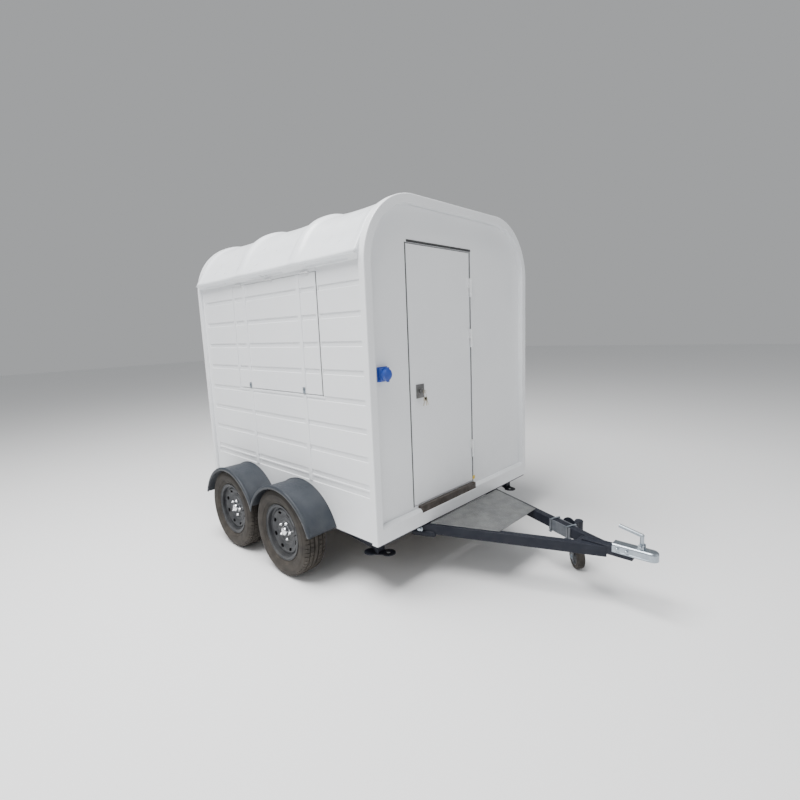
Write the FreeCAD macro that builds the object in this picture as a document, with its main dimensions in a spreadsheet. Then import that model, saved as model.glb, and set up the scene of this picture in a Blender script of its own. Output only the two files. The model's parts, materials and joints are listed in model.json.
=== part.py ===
"""Two-axle food trailer: a hollow cabin with a door and a serving hatch, on a drawbar chassis.

Frame: +X towards the coupler, +Y to the left, +Z up.  The origin is on the ground, under the
middle of the whole trailer.  All lengths are millimetres.
"""
import FreeCAD, Part
import math
import os
import re

from FreeCAD import Placement, Rotation, Vector
import Sketcher

os.makedirs("parts", exist_ok=True)
doc = FreeCAD.newDocument("FoodTrailer")
sheet = doc.addObject("Spreadsheet::Sheet", "Sizes")

# Driving dimensions: alias, value, meaning.
SIZES = [
    # cabin
    ("body_length", 1955, "over both rims"),
    ("body_width", 1650, "over the rims"),
    ("body_height", 1920, "from the wall's lower edge to the top of the rims"),
    ("body_bottom", 345, "lower edge of the walls above the ground"),
    ("corner_radius", 400, "outer radius of the roof's corners"),
    ("wall_thickness", 35, "insulated panel"),
    ("wall_inset", 18, "side panels sit this far inside the rims"),
    ("eave_level", 1925, "lower edge of the roof above the ground"),
    ("eave_reach", 25, "roof edge beyond the rims"),
    ("soffit_drop", 30, "height of the sloping board under the eave"),
    ("rim_face", 50, "width of the rims, seen from the end"),
    ("rim_depth", 35, "rims stand this far proud of the end panels"),
    ("rim_lap", 8, "rims reach this far back over the side panels' ends"),
    ("band_height", 100, "lower member of the rims"),
    ("band_bevel", 14, "bevel along the upper edge of the band"),
    ("band_lap", 20, "end panels start this far above the walls' lower edge"),
    ("rim_round", 6, "rounded outer edge of the rims"),
    # roof sheet over its two bows
    ("roof_step", 7, "roof sheet below the rims at its ends"),
    ("bow_step", 3, "roof sheet below the rims at the bows"),
    ("bay_step", 9, "roof sheet below the rims between the bows"),
    ("bow_front", 610, "front bow and rib behind the front rim's face"),
    ("bow_rear", 1260, "rear bow and rib behind the front rim's face"),
    # pressed side panels
    ("groove_top", 1795, "upper edge of the highest groove above the ground"),
    ("groove_pitch", 159, "between the grooves"),
    ("groove_height", 30, "one groove"),
    ("groove_depth", 6, "one groove"),
    ("groove_count", 8, "grooves in a side panel"),
    ("groove_front", 5, "plain margin behind the front rim"),
    ("groove_rear", 50, "plain margin before the rear rim"),
    ("ledge_gap", 11, "from the lowest groove to the ledge groove"),
    ("ledge_height", 35, "ledge groove above the skirt"),
    ("rib_width", 34, "upright ribs over the grooves"),
    ("rib_rise", 10, "ribs' lower end over the mudguards"),
    ("rib_drop", 8, "ribs' upper end under the soffit"),
    ("rib_proud", 5, "upright ribs"),
    # serving hatch in the right wall
    ("hatch_front", 430, "front edge of the opening behind the front rim's face"),
    ("hatch_length", 994, "opening"),
    ("hinge_inset", 99.4, "outer hatch hinges in from the opening's ends"),
    ("hinge_shift", 8, "middle hatch hinge ahead of the ribs' middle"),
    ("hatch_bottom", 1157, "lower edge of the opening above the ground"),
    ("hatch_top", 1880, "upper edge of the opening above the ground"),
    ("hatch_gap", 5, "leaf to opening"),
    ("hatch_margin", 14, "plain strip beside the hatch's edges"),
    # door in the front wall
    ("door_right", 477, "opening to the right of the middle"),
    ("door_left", 139, "opening to the left of the middle"),
    ("door_bottom", 461, "lower edge of the opening above the ground"),
    ("door_top", 2010, "upper edge of the opening above the ground"),
    ("door_gap", 6, "leaf to opening"),
    ("sill_drop", 43, "threshold below the door opening"),
    ("sill_end", 37, "threshold short of the opening at its lock end"),
    ("sill_back", 5, "threshold behind the rim's face"),
    # weld-on hinges
    ("barrel_radius", 9, "door hinges"),
    ("barrel_lug", 27, "door hinge's leaf beside its barrel"),
    ("hinge_length", 120, "door hinges"),
    ("hinge_high", 1782, "middle of the top door hinge above the ground"),
    ("hinge_middle", 1454, "middle of the second door hinge above the ground"),
    ("hinge_low", 700, "middle of the lowest door hinge above the ground"),
    ("hinge_pin", 5, "radius of the door hinges' pins"),
    ("small_barrel", 6, "hatch hinges' radius"),
    ("small_lug", 18, "hatch hinge's leaf beside its barrel"),
    ("small_pin", 3, "hatch hinges' pin radius"),
    ("small_hinge", 80, "hatch hinges' length"),
    ("barrel_stand", 1, "barrels clear of the panels"),
    ("knuckle_gap", 1, "between the two halves of a hinge"),
    ("fit", 0.08, "radial running clearance of pins and shafts"),
    # lock, inlet, latches
    ("lock_width", 72, "lock plate"),
    ("lock_height", 83, "lock plate"),
    ("lock_plate", 4, "thickness"),
    ("lock_inset", 87, "middle of the lock from the opening's lock edge"),
    ("lock_level", 1161, "middle of the lock above the ground"),
    ("knob_radius", 15, "lock knob"),
    ("knob_length", 26, "lock knob"),
    ("inlet_offset", 700, "middle of the power inlet to the right of the middle"),
    ("inlet_level", 1291, "middle of the power inlet above the ground"),
    ("inlet_width", 78, "inlet housing"),
    ("inlet_cap", 31.2, "radius of the socket's round cap"),
    ("inlet_height", 82, "inlet housing"),
    ("inlet_depth", 52, "inlet housing"),
    ("latch_width", 26, "hatch latch"),
    ("latch_height", 40, "hatch latch"),
    ("latch_depth", 9, "hatch latch"),
    # chassis
    ("chassis_bottom", 335, "underside of the chassis above the ground"),
    ("rail_height", 60, "longitudinal rails"),
    ("rail_width", 40, "longitudinal rails"),
    ("cross_width", 40, "cross members"),
    ("floor_thickness", 25, "floor panel"),
    ("flange_inset", 4, "chassis flange inside the walls' faces"),
    # drawbar
    ("coupler_reach", 1184, "coupler nose ahead of the front rim's face"),
    ("drawbar_reach", 950, "meeting point of the arms ahead of the front rim's face"),
    ("drawbar_root", 380, "arm's middle to the side at the front rim's face"),
    ("drawbar_tail", 440, "arms reach this far under the cabin"),
    ("arm_width", 45, "drawbar arm"),
    ("arm_height", 60, "drawbar arm"),
    ("nose_width", 56, "tube under the coupler"),
    ("nose_rise", 8, "tube's top above the arms' top"),
    ("nose_height", 50, "tube under the coupler"),
    ("nose_start", 800, "tube's rear end ahead of the front rim's face"),
    ("nose_end", 1067, "tube's front end ahead of the front rim's face"),
    ("gusset_start", 775, "plate between the arms"),
    ("gusset_thickness", 6, "plate between the arms"),
    ("gusset_drop", 4, "plate below the arms' tops"),
    ("plate_front", 400, "tread plate's front edge ahead of the front rim's face"),
    ("plate_back", 5, "tread plate's rear edge ahead of the front rim's face"),
    ("plate_thickness", 4, "tread plate"),
    # coupler
    ("coupler_start", 965, "coupler's rear end ahead of the front rim's face"),
    ("coupler_width", 66, "coupler"),
    ("coupler_rise", 22, "coupler's top above the nose tube"),
    ("coupler_round", 14, "coupler's upper edges"),
    ("socket_radius", 25.5, "seat of a 50 mm tow ball"),
    ("socket_depth", 32, "seat of a 50 mm tow ball"),
    ("coupler_skirt", 48, "coupler's sides below its top"),
    ("handle_place", 1102, "handle's pin ahead of the front rim's face"),
    ("handle_lift", 13, "handle's pin above the coupler"),
    ("handle_rod", 10, "radius"),
    ("ear_width", 30, "ears that hold the handle's pin"),
    ("handle_post", 56, "handle's upright part"),
    ("handle_grip", 116, "handle's long part"),
    ("handle_tilt", 13, "degrees, long part above the level"),
    ("handle_pin", 5, "radius"),
    ("ear_thickness", 5, "handle's ears on the coupler"),
    ("ear_gap", 2, "handle to ear"),
    # wheels and axles
    ("tyre_radius", 285, "13 inch trailer tyre"),
    ("tyre_width", 165, "tyre"),
    ("rim_width", 132, "rim"),
    ("tyre_gap", 10, "tyre clear of the cabin's side"),
    ("tyre_shoulder", 34, "rounding between tread and sidewall"),
    ("bead_radius", 165, "rim's bead seat"),
    ("flange_radius", 182, "rim's edge"),
    ("barrel_wall", 5, "rim's barrel"),
    ("disc_wall", 6, "rim's disc"),
    ("disc_step", 15, "dish of the wheel's disc"),
    ("disc_offset", 18, "disc outside the wheel's middle plane"),
    ("hub_radius", 33, "wheel hub"),
    ("dish_radius", 99, "wheel disc's flat middle"),
    ("hub_length", 92, "wheel hub"),
    ("hub_inside", 61, "hub behind the disc"),
    ("spindle_radius", 20, "wheel spindle"),
    ("window_radius", 13, "oval windows in the disc"),
    ("window_count", 8, "oval windows in the disc"),
    ("front_axle", 725, "front axle behind the front rim's face"),
    ("axle_spacing", 650, "between the axles"),
    ("beam_size", 60, "square axle beam"),
    ("beam_rise", 15, "trailing arm's top under the chassis"),
    ("swing_length", 120, "axle beam ahead of the wheel's middle"),
    ("swing_width", 24, "trailing arm"),
    ("eye_radius", 28, "trailing arm's round end"),
    ("swing_place", 745, "trailing arm's inner face to the side"),
    ("drum_radius", 100, "brake drum"),
    ("drum_start", 815, "brake drum's inner face to the side"),
    ("drum_width", 42, "brake drum"),
    # mudguards
    ("guard_radius", 364, "arch's outer radius"),
    ("guard_drop", 60, "arch's middle below the wheel's middle"),
    ("guard_wall", 5, "arch's thickness"),
    ("guard_end", 350, "lower ends above the ground"),
    ("guard_edge", 12, "arch beyond the tyre's outer face"),
    ("lip_width", 14, "lip along the outer edge"),
    ("lip_rise", 7, "lip above the arch"),
    ("lip_fall", 18, "lip below the arch"),
    # corner steadies
    ("steady_pivot", 473, "pivot in from the end of the cabin"),
    ("steady_place", 713, "leg's middle to the side"),
    ("steady_length", 370, "between the leg's two pins"),
    ("steady_slope", 6.5, "degrees, raised leg below the level"),
    ("steady_width", 40, "leg"),
    ("steady_height", 28, "leg"),
    ("steady_tail", 9.333, "leg behind its upper pin"),
    ("steady_drop", 23, "pivot below the chassis"),
    ("steady_pin", 6, "radius of both pins"),
    ("cheek_thickness", 5, "bracket's cheeks"),
    ("foot_pin_rise", 30, "foot's pin above its underside"),
    ("foot_lobe", 42, "radius of the foot's two round lobes"),
    ("foot_span", 104, "between the middles of the lobes"),
    ("foot_waist", 63, "plate between the lobes"),
    ("foot_turn", 32, "degrees, the lobes' line off the trailer's length"),
    ("foot_ear_rise", 10, "foot's ears above its pin"),
    ("foot_thickness", 5, "foot plate"),
    ("foot_hole", 12, "radius of the hole in the outer lobe"),
    # jockey wheel on the left arm
    ("jockey_place", 625, "mount along the arm, ahead of the front rim's face"),
    ("jockey_offset", 130, "leg's middle from the arm's middle line"),
    ("mount_length", 170, "plate on the arm"),
    ("mount_thickness", 8, "plate on the arm"),
    ("boss_radius", 20, "pivot boss"),
    ("boss_length", 20, "pivot boss"),
    ("pivot_pin", 8, "radius"),
    ("pivot_level", 292, "pivot above the ground"),
    ("turn_plate", 60, "radius of the round plate on the leg"),
    ("turn_thickness", 7, "round plate on the leg"),
    ("turn_width", 36, "arm from the round plate to the leg"),
    ("leg_radius", 24, "leg tube"),
    ("leg_top", 316, "above the ground"),
    ("leg_bottom", 200, "above the ground"),
    ("jockey_radius", 75, "wheel"),
    ("jockey_width", 50, "wheel"),
    ("fork_gap", 5, "fork to wheel"),
    ("fork_wall", 5, "fork"),
    ("fork_width", 44, "fork's cheeks"),
    ("trail", 18, "wheel behind the leg's middle"),
    ("stem_radius", 15, "swivel stem"),
    ("stem_depth", 30, "stem inside the leg"),
    ("caster_turn", -46, "degrees, the fork as it was left"),
    ("jockey_axle", 6, "radius"),
    # rear end
    ("lamp_width", 100, "tail lamp"),
    ("lamp_height", 100, "tail lamp"),
    ("lamp_depth", 28, "tail lamp"),
    ("lamp_offset", 650, "tail lamp's middle to the side"),
    ("lamp_level", 560, "tail lamp's middle above the ground"),
    ("number_width", 520, "number plate"),
    ("number_height", 110, "number plate"),
    ("number_thickness", 4, "number plate"),
]

for row, (alias, size, meaning) in enumerate(SIZES, start=1):
    sheet.set(f"A{row}", alias)
    sheet.set(f"B{row}", str(size))
    sheet.setAlias(f"B{row}", alias)
    sheet.set(f"C{row}", meaning)
doc.recompute()

ALIASES = {alias for alias, size, meaning in SIZES}
XY, XZ, YZ = "XY_Plane", "XZ_Plane", "YZ_Plane"
ALONG_X = Rotation(Vector(0, 1, 0), 90)
ALONG_Y = Rotation(Vector(1, 0, 0), -90)
ALONG_Z = Rotation()
HALF_TURN = 180
QUARTER_TURN = 90
NEAR = 0.1
RIGHT, LEFT = "right", "left"

# Places worked out from the sizes, as expressions.
FRONT = "((body_length - coupler_reach) / 2)"
REAR = "(-(body_length + coupler_reach) / 2)"
HALF = "(body_width / 2)"
TOP = "(body_bottom + body_height)"
WALL_OUT = f"({HALF} - wall_inset)"
WALL_IN = f"({WALL_OUT} - wall_thickness)"
SHELL_INSET = "(wall_inset + wall_thickness)"
PANEL_FRONT = f"({FRONT} - rim_depth)"
PANEL_REAR = f"({REAR} + rim_depth)"
SIDE_FRONT = f"({PANEL_FRONT} - rim_lap)"
SIDE_REAR = f"({PANEL_REAR} + rim_lap)"
CABIN_FRONT = f"({PANEL_FRONT} - wall_thickness)"
CABIN_REAR = f"({PANEL_REAR} + wall_thickness)"
RAIL_TOP = "(chassis_bottom + rail_height)"
HATCH_FRONT = f"({FRONT} - hatch_front)"
HATCH_REAR = f"({FRONT} - hatch_front - hatch_length)"
AXLES = {"front": f"({FRONT} - front_axle)", "rear": f"({FRONT} - front_axle - axle_spacing)"}
WHEEL_MID = f"({HALF} + tyre_gap + tyre_width / 2)"
TYRE_OUT = f"({HALF} + tyre_gap + tyre_width)"
ARM_ANGLE = "atan(drawbar_root / drawbar_reach)"
ARM_BOTTOM = "(chassis_bottom - arm_height)"
NOSE_TOP = "(chassis_bottom + nose_rise)"
COUPLER_TOP = f"({NOSE_TOP} + coupler_rise)"


# ---------------------------------------------------------------- expressions and primitives

def at_sheet(text):
    """The expression with each size's name pointed at the sheet."""
    def point(word):
        return "Sizes." + word.group(0) if word.group(0) in ALIASES else word.group(0)
    return re.sub(r"[a-z]\w*", point, text)


def number(text):
    """What an expression of the sizes comes to."""
    result = sheet.evalExpression(at_sheet(text))
    return float(getattr(result, "Value", result))


def bind(thing, field, text):
    """Tie one property of an object to an expression of the sizes."""
    thing.setExpression(field, at_sheet(text))


def place(thing, x="0", y="0", z="0", turn=None):
    """Tie an object's place to expressions, and its turn to a fixed rotation."""
    if turn is not None:
        thing.Placement = Placement(Vector(), turn)
    for axis, text in zip("xyz", (x, y, z)):
        bind(thing, f"Placement.Base.{axis}", text)
    return thing


def box(name, x, y, z):
    """A block between a low and a high plane on each axis."""
    piece = doc.addObject("Part::Box", name)
    for side, (low, high) in zip(("Length", "Width", "Height"), (x, y, z)):
        bind(piece, side, f"({high}) - ({low})")
    return place(piece, x[0], y[0], z[0])


def rod(name, radius, length, start, turn=ALONG_Z):
    """A round bar that starts at a point and runs along an axis."""
    piece = doc.addObject("Part::Cylinder", name)
    bind(piece, "Radius", radius)
    bind(piece, "Height", length)
    return place(piece, *start, turn=turn)


def fuse(name, pieces):
    """Several solids welded into one."""
    welded = doc.addObject("Part::MultiFuse", name)
    welded.Shapes = pieces
    return welded


def cut(name, base, tool):
    """One solid with another taken out of it."""
    rest = doc.addObject("Part::Cut", name)
    rest.Base = base
    rest.Tool = tool
    return rest


def common(name, base, tool):
    """What two solids share."""
    shared = doc.addObject("Part::Common", name)
    shared.Base = base
    shared.Tool = tool
    return shared


def group(name, pieces):
    """Separate solids of one sub-part."""
    together = doc.addObject("Part::Compound", name)
    together.Links = pieces
    return together


def span(side, inner, outer):
    """Low and high plane of a stretch beside the middle, on the right or the left."""
    if side == LEFT:
        return inner, outer
    return f"-({outer})", f"-({inner})"


def middle(centre, width):
    """Low and high plane of a width about a centre."""
    return f"({centre}) - ({width}) / 2", f"({centre}) + ({width}) / 2"


# ---------------------------------------------------------------- sketches and bodies

def new_body(label):
    """An empty body for one sub-part."""
    body = doc.addObject("PartDesign::Body", label)
    body.Label = label
    return body


def sketch_on(body, name, plane, offset="0", sideways="0", upward="0"):
    """A sketch on one of the body's own planes, moved along the plane's normal and within it."""
    sketch = body.newObject("Sketcher::SketchObject", name)
    origin_plane = [each for each in body.Origin.OriginFeatures if each.Role == plane][0]
    sketch.AttachmentSupport = [(origin_plane, "")]
    sketch.MapMode = "FlatFace"
    bind(sketch, "AttachmentOffset.Base.x", sideways)
    bind(sketch, "AttachmentOffset.Base.y", upward)
    bind(sketch, "AttachmentOffset.Base.z", offset)
    return sketch


def hold(sketch, kind, edge, point, text):
    """Tie one point's distance from the sketch's origin, across or up, to an expression."""
    row = sketch.addConstraint(Sketcher.Constraint(kind, -1, 1, edge, point, number(text)))
    sketch.setExpression(f"Constraints[{row}]", at_sheet(text))


def polygon(sketch, corners):
    """A closed outline of straight edges whose corners are pairs of expressions."""
    points = [Vector(number(across), number(up), 0) for across, up in corners]
    first = sketch.GeometryCount
    count = len(points)
    for step in range(count):
        sketch.addGeometry(Part.LineSegment(points[step], points[(step + 1) % count]))
    for step in range(count):
        following = first + (step + 1) % count
        sketch.addConstraint(Sketcher.Constraint("Coincident", first + step, 2, following, 1))
        hold(sketch, "DistanceX", first + step, 1, corners[step][0])
        hold(sketch, "DistanceY", first + step, 1, corners[step][1])


def rectangle(sketch, across, up):
    """A rectangle between two planes each way."""
    polygon(sketch, [(across[0], up[0]), (across[1], up[0]), (across[1], up[1]), (across[0], up[1])])


def arch(sketch, half, bottom, top, radius, foot=None):
    """The cabin's outline: straight foot and sides, and a roof with round corners.

    foot is the half width at the bottom, where it differs from the half width of the corners.
    """
    foot = foot or half
    wide, low, high, bend, base = (number(text) for text in (half, bottom, top, radius, foot))
    centre = wide - bend
    level = high - bend
    reach = math.hypot(base - centre, low - level)
    lean = math.atan2(low - level, base - centre) + math.acos(bend / reach)
    circle_right = Part.Circle(Vector(centre, level, 0), Vector(0, 0, 1), bend)
    circle_left = Part.Circle(Vector(-centre, level, 0), Vector(0, 0, 1), bend)
    quarter = math.pi / 2
    first = sketch.GeometryCount
    right_arc = Part.ArcOfCircle(circle_right, lean, quarter)
    left_arc = Part.ArcOfCircle(circle_left, quarter, math.pi - lean)
    foot_line, right_side, right_bend, crown, left_bend, left_side = range(first, first + 6)
    sketch.addGeometry(Part.LineSegment(Vector(-base, low, 0), Vector(base, low, 0)))
    sketch.addGeometry(Part.LineSegment(Vector(base, low, 0), right_arc.StartPoint))
    sketch.addGeometry(right_arc)
    sketch.addGeometry(Part.LineSegment(Vector(centre, high, 0), Vector(-centre, high, 0)))
    sketch.addGeometry(left_arc)
    sketch.addGeometry(Part.LineSegment(left_arc.EndPoint, Vector(-base, low, 0)))
    join = Sketcher.Constraint
    sketch.addConstraint([
        join("Coincident", foot_line, 2, right_side, 1),
        join("Tangent", right_side, 2, right_bend, 1),
        join("Tangent", right_bend, 2, crown, 1),
        join("Tangent", crown, 2, left_bend, 1),
        join("Tangent", left_bend, 2, left_side, 1),
        join("Coincident", left_side, 2, foot_line, 1),
        join("Horizontal", crown),
    ])
    hold(sketch, "DistanceX", foot_line, 1, f"-({foot})")
    hold(sketch, "DistanceY", foot_line, 1, bottom)
    hold(sketch, "DistanceX", foot_line, 2, foot)
    hold(sketch, "DistanceY", foot_line, 2, bottom)
    hold(sketch, "DistanceX", right_bend, 3, f"({half}) - ({radius})")
    hold(sketch, "DistanceY", right_bend, 3, f"({top}) - ({radius})")
    hold(sketch, "DistanceX", left_bend, 3, f"({radius}) - ({half})")
    row = sketch.addConstraint(Sketcher.Constraint("Radius", right_bend, bend))
    sketch.setExpression(f"Constraints[{row}]", at_sheet(radius))
    row = sketch.addConstraint(Sketcher.Constraint("Radius", left_bend, bend))
    sketch.setExpression(f"Constraints[{row}]", at_sheet(radius))


def disc(sketch, radius, across="0", up="0"):
    """A circle about a point."""
    first = sketch.GeometryCount
    centre = Vector(number(across), number(up), 0)
    sketch.addGeometry(Part.Circle(centre, Vector(0, 0, 1), number(radius)))
    hold(sketch, "DistanceX", first, 3, across)
    hold(sketch, "DistanceY", first, 3, up)
    row = sketch.addConstraint(Sketcher.Constraint("Radius", first, number(radius)))
    sketch.setExpression(f"Constraints[{row}]", at_sheet(radius))


def pad(body, sketch, length, backward=False):
    """Grow a sketch's outline into the body."""
    feature = body.newObject("PartDesign::Pad", sketch.Name + "Pad")
    feature.Profile = sketch
    feature.Reversed = backward
    bind(feature, "Length", length)
    body.Tip = feature
    return feature


def pocket(body, sketch, length=None, backward=False):
    """Sink a sketch's outline into the body, or through all of it both ways."""
    feature = body.newObject("PartDesign::Pocket", sketch.Name + "Pocket")
    feature.Profile = sketch
    feature.Reversed = backward
    if length is None:
        feature.Type = "ThroughAll"
        feature.Midplane = True
    else:
        bind(feature, "Length", length)
    body.Tip = feature
    return feature


def revolve(body, sketch):
    """Turn a sketch's outline about its horizontal axis."""
    feature = body.newObject("PartDesign::Revolution", sketch.Name + "Turn")
    feature.Profile = sketch
    feature.ReferenceAxis = (sketch, ["H_Axis"])
    feature.Angle = 360
    body.Tip = feature
    return feature


def edges_where(shape, test):
    """Names of the edges that pass a test of their bounding box."""
    names = []
    for place_in_list, edge in enumerate(shape.Edges, start=1):
        if test(edge.BoundBox):
            names.append(f"Edge{place_in_list}")
    return names


def dress(body, kind, field, test, size):
    """Round or bevel the edges of the body's last feature that pass a test."""
    doc.recompute()
    last = body.Tip
    names = edges_where(last.Shape, test)
    feature = body.newObject(f"PartDesign::{kind}", body.Name + kind)
    feature.Base = (last, names)
    bind(feature, field, size)
    body.Tip = feature
    return feature


def repeat(body, kind, original, axis, count, **fields):
    """Repeat a feature along or around one axis of its own sketch."""
    feature = body.newObject(f"PartDesign::{kind}", original.Name + kind)
    feature.Originals = [original]
    bind(feature, "Occurrences", count)
    for field, text in fields.items():
        bind(feature, field, text)
    setattr(feature, "Direction" if kind == "LinearPattern" else "Axis", axis)
    body.Tip = feature
    return feature


# ---------------------------------------------------------------- cabin

NODES = {}


def keep(label, thing):
    """Name a finished sub-part and put it on the list of those that are written."""
    thing.Label = label
    NODES[label] = thing
    return thing


def end_rim(label, face, panel, backward):
    """The frame round one end of the cabin: a deep face and a lap behind it."""
    body = new_body(label)
    outline = (HALF, "body_bottom", TOP, "corner_radius")
    face_ring = sketch_on(body, label + "_face", YZ, face)
    arch(face_ring, *outline)
    arch(face_ring, f"{HALF} - rim_face", "body_bottom + band_height", f"{TOP} - rim_face",
         "corner_radius - rim_face")
    pad(body, face_ring, "rim_depth", backward)
    lap_ring = sketch_on(body, label + "_lap", YZ, panel)
    arch(lap_ring, *outline)
    arch(lap_ring, WALL_IN, "body_bottom + band_lap", f"{TOP} - {SHELL_INSET}",
         f"corner_radius - {SHELL_INSET}")
    pad(body, lap_ring, "rim_lap", backward)
    plane = number(face)
    band_top = number("body_bottom + band_height")
    outer = number(HALF)
    top = number(TOP)

    def on_face(bounds):
        return abs(bounds.XMin - plane) < NEAR and bounds.XLength < NEAR

    def band_edge(bounds):
        return on_face(bounds) and abs(bounds.ZMin - band_top) < NEAR and bounds.ZLength < NEAR

    def outer_edge(bounds):
        on_side = abs(bounds.YMin + outer) < NEAR or abs(bounds.YMax - outer) < NEAR
        return on_face(bounds) and (on_side or bounds.ZMax > top - NEAR) and bounds.ZMax > band_top

    dress(body, "Chamfer", "Size", band_edge, "band_bevel")
    dress(body, "Fillet", "Radius", outer_edge, "rim_round")
    return keep(label, body)


def end_wall(label, panel, backward):
    """A flat end panel of the cabin, inside the side panels and the roof."""
    body = new_body(label)
    outline = sketch_on(body, label + "_outline", YZ, panel)
    arch(outline, WALL_IN, "body_bottom + band_lap", f"{TOP} - {SHELL_INSET}",
         f"corner_radius - {SHELL_INSET}")
    pad(body, outline, "wall_thickness", backward)
    return keep(label, body)


def ribbed_panel(label, side, across, up, grooves, rib_top, opening=None):
    """A pressed panel of one side: grooves along it, upright ribs over them, and an opening.

    across, up and grooves are pairs of expressions: the panel's ends, its lower and upper
    edge, and the grooves' ends.  rib_top is the ribs' upper end, and opening is the hatch
    opening's two pairs.
    """
    inward = side == RIGHT
    sign = "" if inward else "-1 * "
    outer = f"{sign}{WALL_OUT}"
    deep = f"{sign}({WALL_OUT} - groove_depth)"
    body = new_body(label)
    sheet_outline = sketch_on(body, label + "_outline", XZ, outer)
    rectangle(sheet_outline, across, up)
    pad(body, sheet_outline, "wall_thickness", inward)
    low, high = number(up[0]), number(up[1])
    steps = [step for step in range(int(number("groove_count")))
             if low < number(f"groove_top - groove_height - groove_pitch * {step}")
             and number(f"groove_top - groove_pitch * {step}") < high]
    top_groove = f"(groove_top - groove_pitch * {steps[0]})"
    groove = sketch_on(body, label + "_groove", XZ, outer)
    rectangle(groove, grooves, (f"{top_groove} - groove_height", top_groove))
    first = pocket(body, groove, "groove_depth", not inward)
    pattern = repeat(body, "LinearPattern", first, (groove, ["V_Axis"]), str(len(steps)),
                     Length=f"groove_pitch * {len(steps) - 1}")
    pattern.Reversed = True
    if low < number(LEDGE[0]):
        ledge = sketch_on(body, label + "_ledge", XZ, outer)
        rectangle(ledge, grooves, LEDGE)
        pocket(body, ledge, "groove_depth", not inward)
    ribs = sketch_on(body, label + "_ribs", XZ, deep)
    rib_foot = RIB_FOOT if low < number(RIB_FOOT) else up[0]
    for bow in ("bow_front", "bow_rear"):
        rectangle(ribs, middle(f"{FRONT} - {bow}", "rib_width"), (rib_foot, rib_top))
    pad(body, ribs, "groove_depth + rib_proud", not inward)
    if opening:
        border = sketch_on(body, label + "_border", XZ, deep)
        wide, tall = opening
        rectangle(border, (f"{wide[0]} - hatch_margin", f"{wide[1]} + hatch_margin"),
                  (f"{tall[0]} - hatch_margin", f"{up[1]}"))
        pad(body, border, "groove_depth", not inward)
        hole = sketch_on(body, label + "_opening", XZ, outer)
        rectangle(hole, wide, tall)
        pocket(body, hole)
    return keep(label, body)


def roof_shell():
    """The arched roof: sheet that stands up over two bows and sags a little between them."""
    label = "roof_shell"
    body = new_body(label)
    bow_front = f"({FRONT} - bow_front)"
    bow_rear = f"({FRONT} - bow_rear)"
    stations = [
        (SIDE_FRONT, "roof_step"),
        (f"({SIDE_FRONT} + {bow_front}) / 2", "bay_step"),
        (bow_front, "bow_step"),
        (f"({bow_front} + {bow_rear}) / 2", "bay_step"),
        (bow_rear, "bow_step"),
        (f"({bow_rear} + {SIDE_REAR}) / 2", "bay_step"),
        (SIDE_REAR, "roof_step"),
    ]
    sections = []
    for place_in_list, (station, step) in enumerate(stations):
        section = sketch_on(body, f"{label}_section{place_in_list}", YZ, station)
        arch(section, f"{HALF} - {step}", "eave_level", f"{TOP} - {step}",
             f"corner_radius - {step}", f"{HALF} + eave_reach")
        sections.append(section)
    loft = body.newObject("PartDesign::AdditiveLoft", label + "_loft")
    loft.Profile = sections[0]
    loft.Sections = sections[1:]
    body.Tip = loft
    inside = sketch_on(body, label + "_inside", YZ, SIDE_FRONT)
    arch(inside, WALL_IN, "eave_level - wall_thickness - corner_radius / 4",
         f"{TOP} - {SHELL_INSET}", f"corner_radius - {SHELL_INSET}")
    pocket(body, inside)
    return keep(label, body)


def soffits():
    """Sloping boards that close the underside of both eaves."""
    boards = []
    for side, sign in ((RIGHT, "-1 * "), (LEFT, "")):
        body = new_body("soffit_" + side)
        section = sketch_on(body, f"soffit_{side}_section", YZ, SIDE_REAR)
        polygon(section, [
            (f"{sign}{WALL_OUT}", "eave_level"),
            (f"{sign}({HALF} + eave_reach)", "eave_level"),
            (f"{sign}{WALL_OUT}", "eave_level - soffit_drop"),
        ])
        pad(body, section, f"{SIDE_FRONT} - {SIDE_REAR}")
        boards.append(body)
    return keep("soffits", group("soffits", boards))


LEDGE_TOP = "(groove_top - groove_pitch * (groove_count - 1) - groove_height - ledge_gap)"
LEDGE = (f"({LEDGE_TOP} - ledge_height)", LEDGE_TOP)
WALL_ENDS = (SIDE_REAR, SIDE_FRONT)
WALL_LEVELS = ("body_bottom", "eave_level")
RIB_FOOT = "(tyre_radius - guard_drop + guard_radius + lip_rise + rib_rise)"
RIB_TOP = "(eave_level - soffit_drop - rib_drop)"
WALL_GROOVES = (f"{SIDE_REAR} + groove_rear", f"{SIDE_FRONT} - groove_front")
HATCH_ENDS = (HATCH_REAR, HATCH_FRONT)
HATCH_LEVELS = ("hatch_bottom", "hatch_top")
LEAF_ENDS = (f"{HATCH_REAR} + hatch_gap", f"{HATCH_FRONT} - hatch_gap")
LEAF_LEVELS = ("hatch_bottom + hatch_gap", "hatch_top - hatch_gap")
LEAF_GROOVES = (f"{LEAF_ENDS[0]} + hatch_margin", f"{LEAF_ENDS[1]} - hatch_margin")
DOOR_SIDES = ("-door_right", "door_left")
SILL_SIDES = ("sill_end - door_right", "door_left - door_gap")
SILL_LEVELS = ("door_bottom - sill_drop", "door_bottom")

front_rim = end_rim("front_rim", FRONT, PANEL_FRONT, True)
notch = sketch_on(front_rim, "front_rim_notch", YZ, FRONT)
rectangle(notch, SILL_SIDES, SILL_LEVELS)
pocket(front_rim, notch, "rim_depth")
end_rim("rear_rim", REAR, PANEL_REAR, False)

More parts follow.
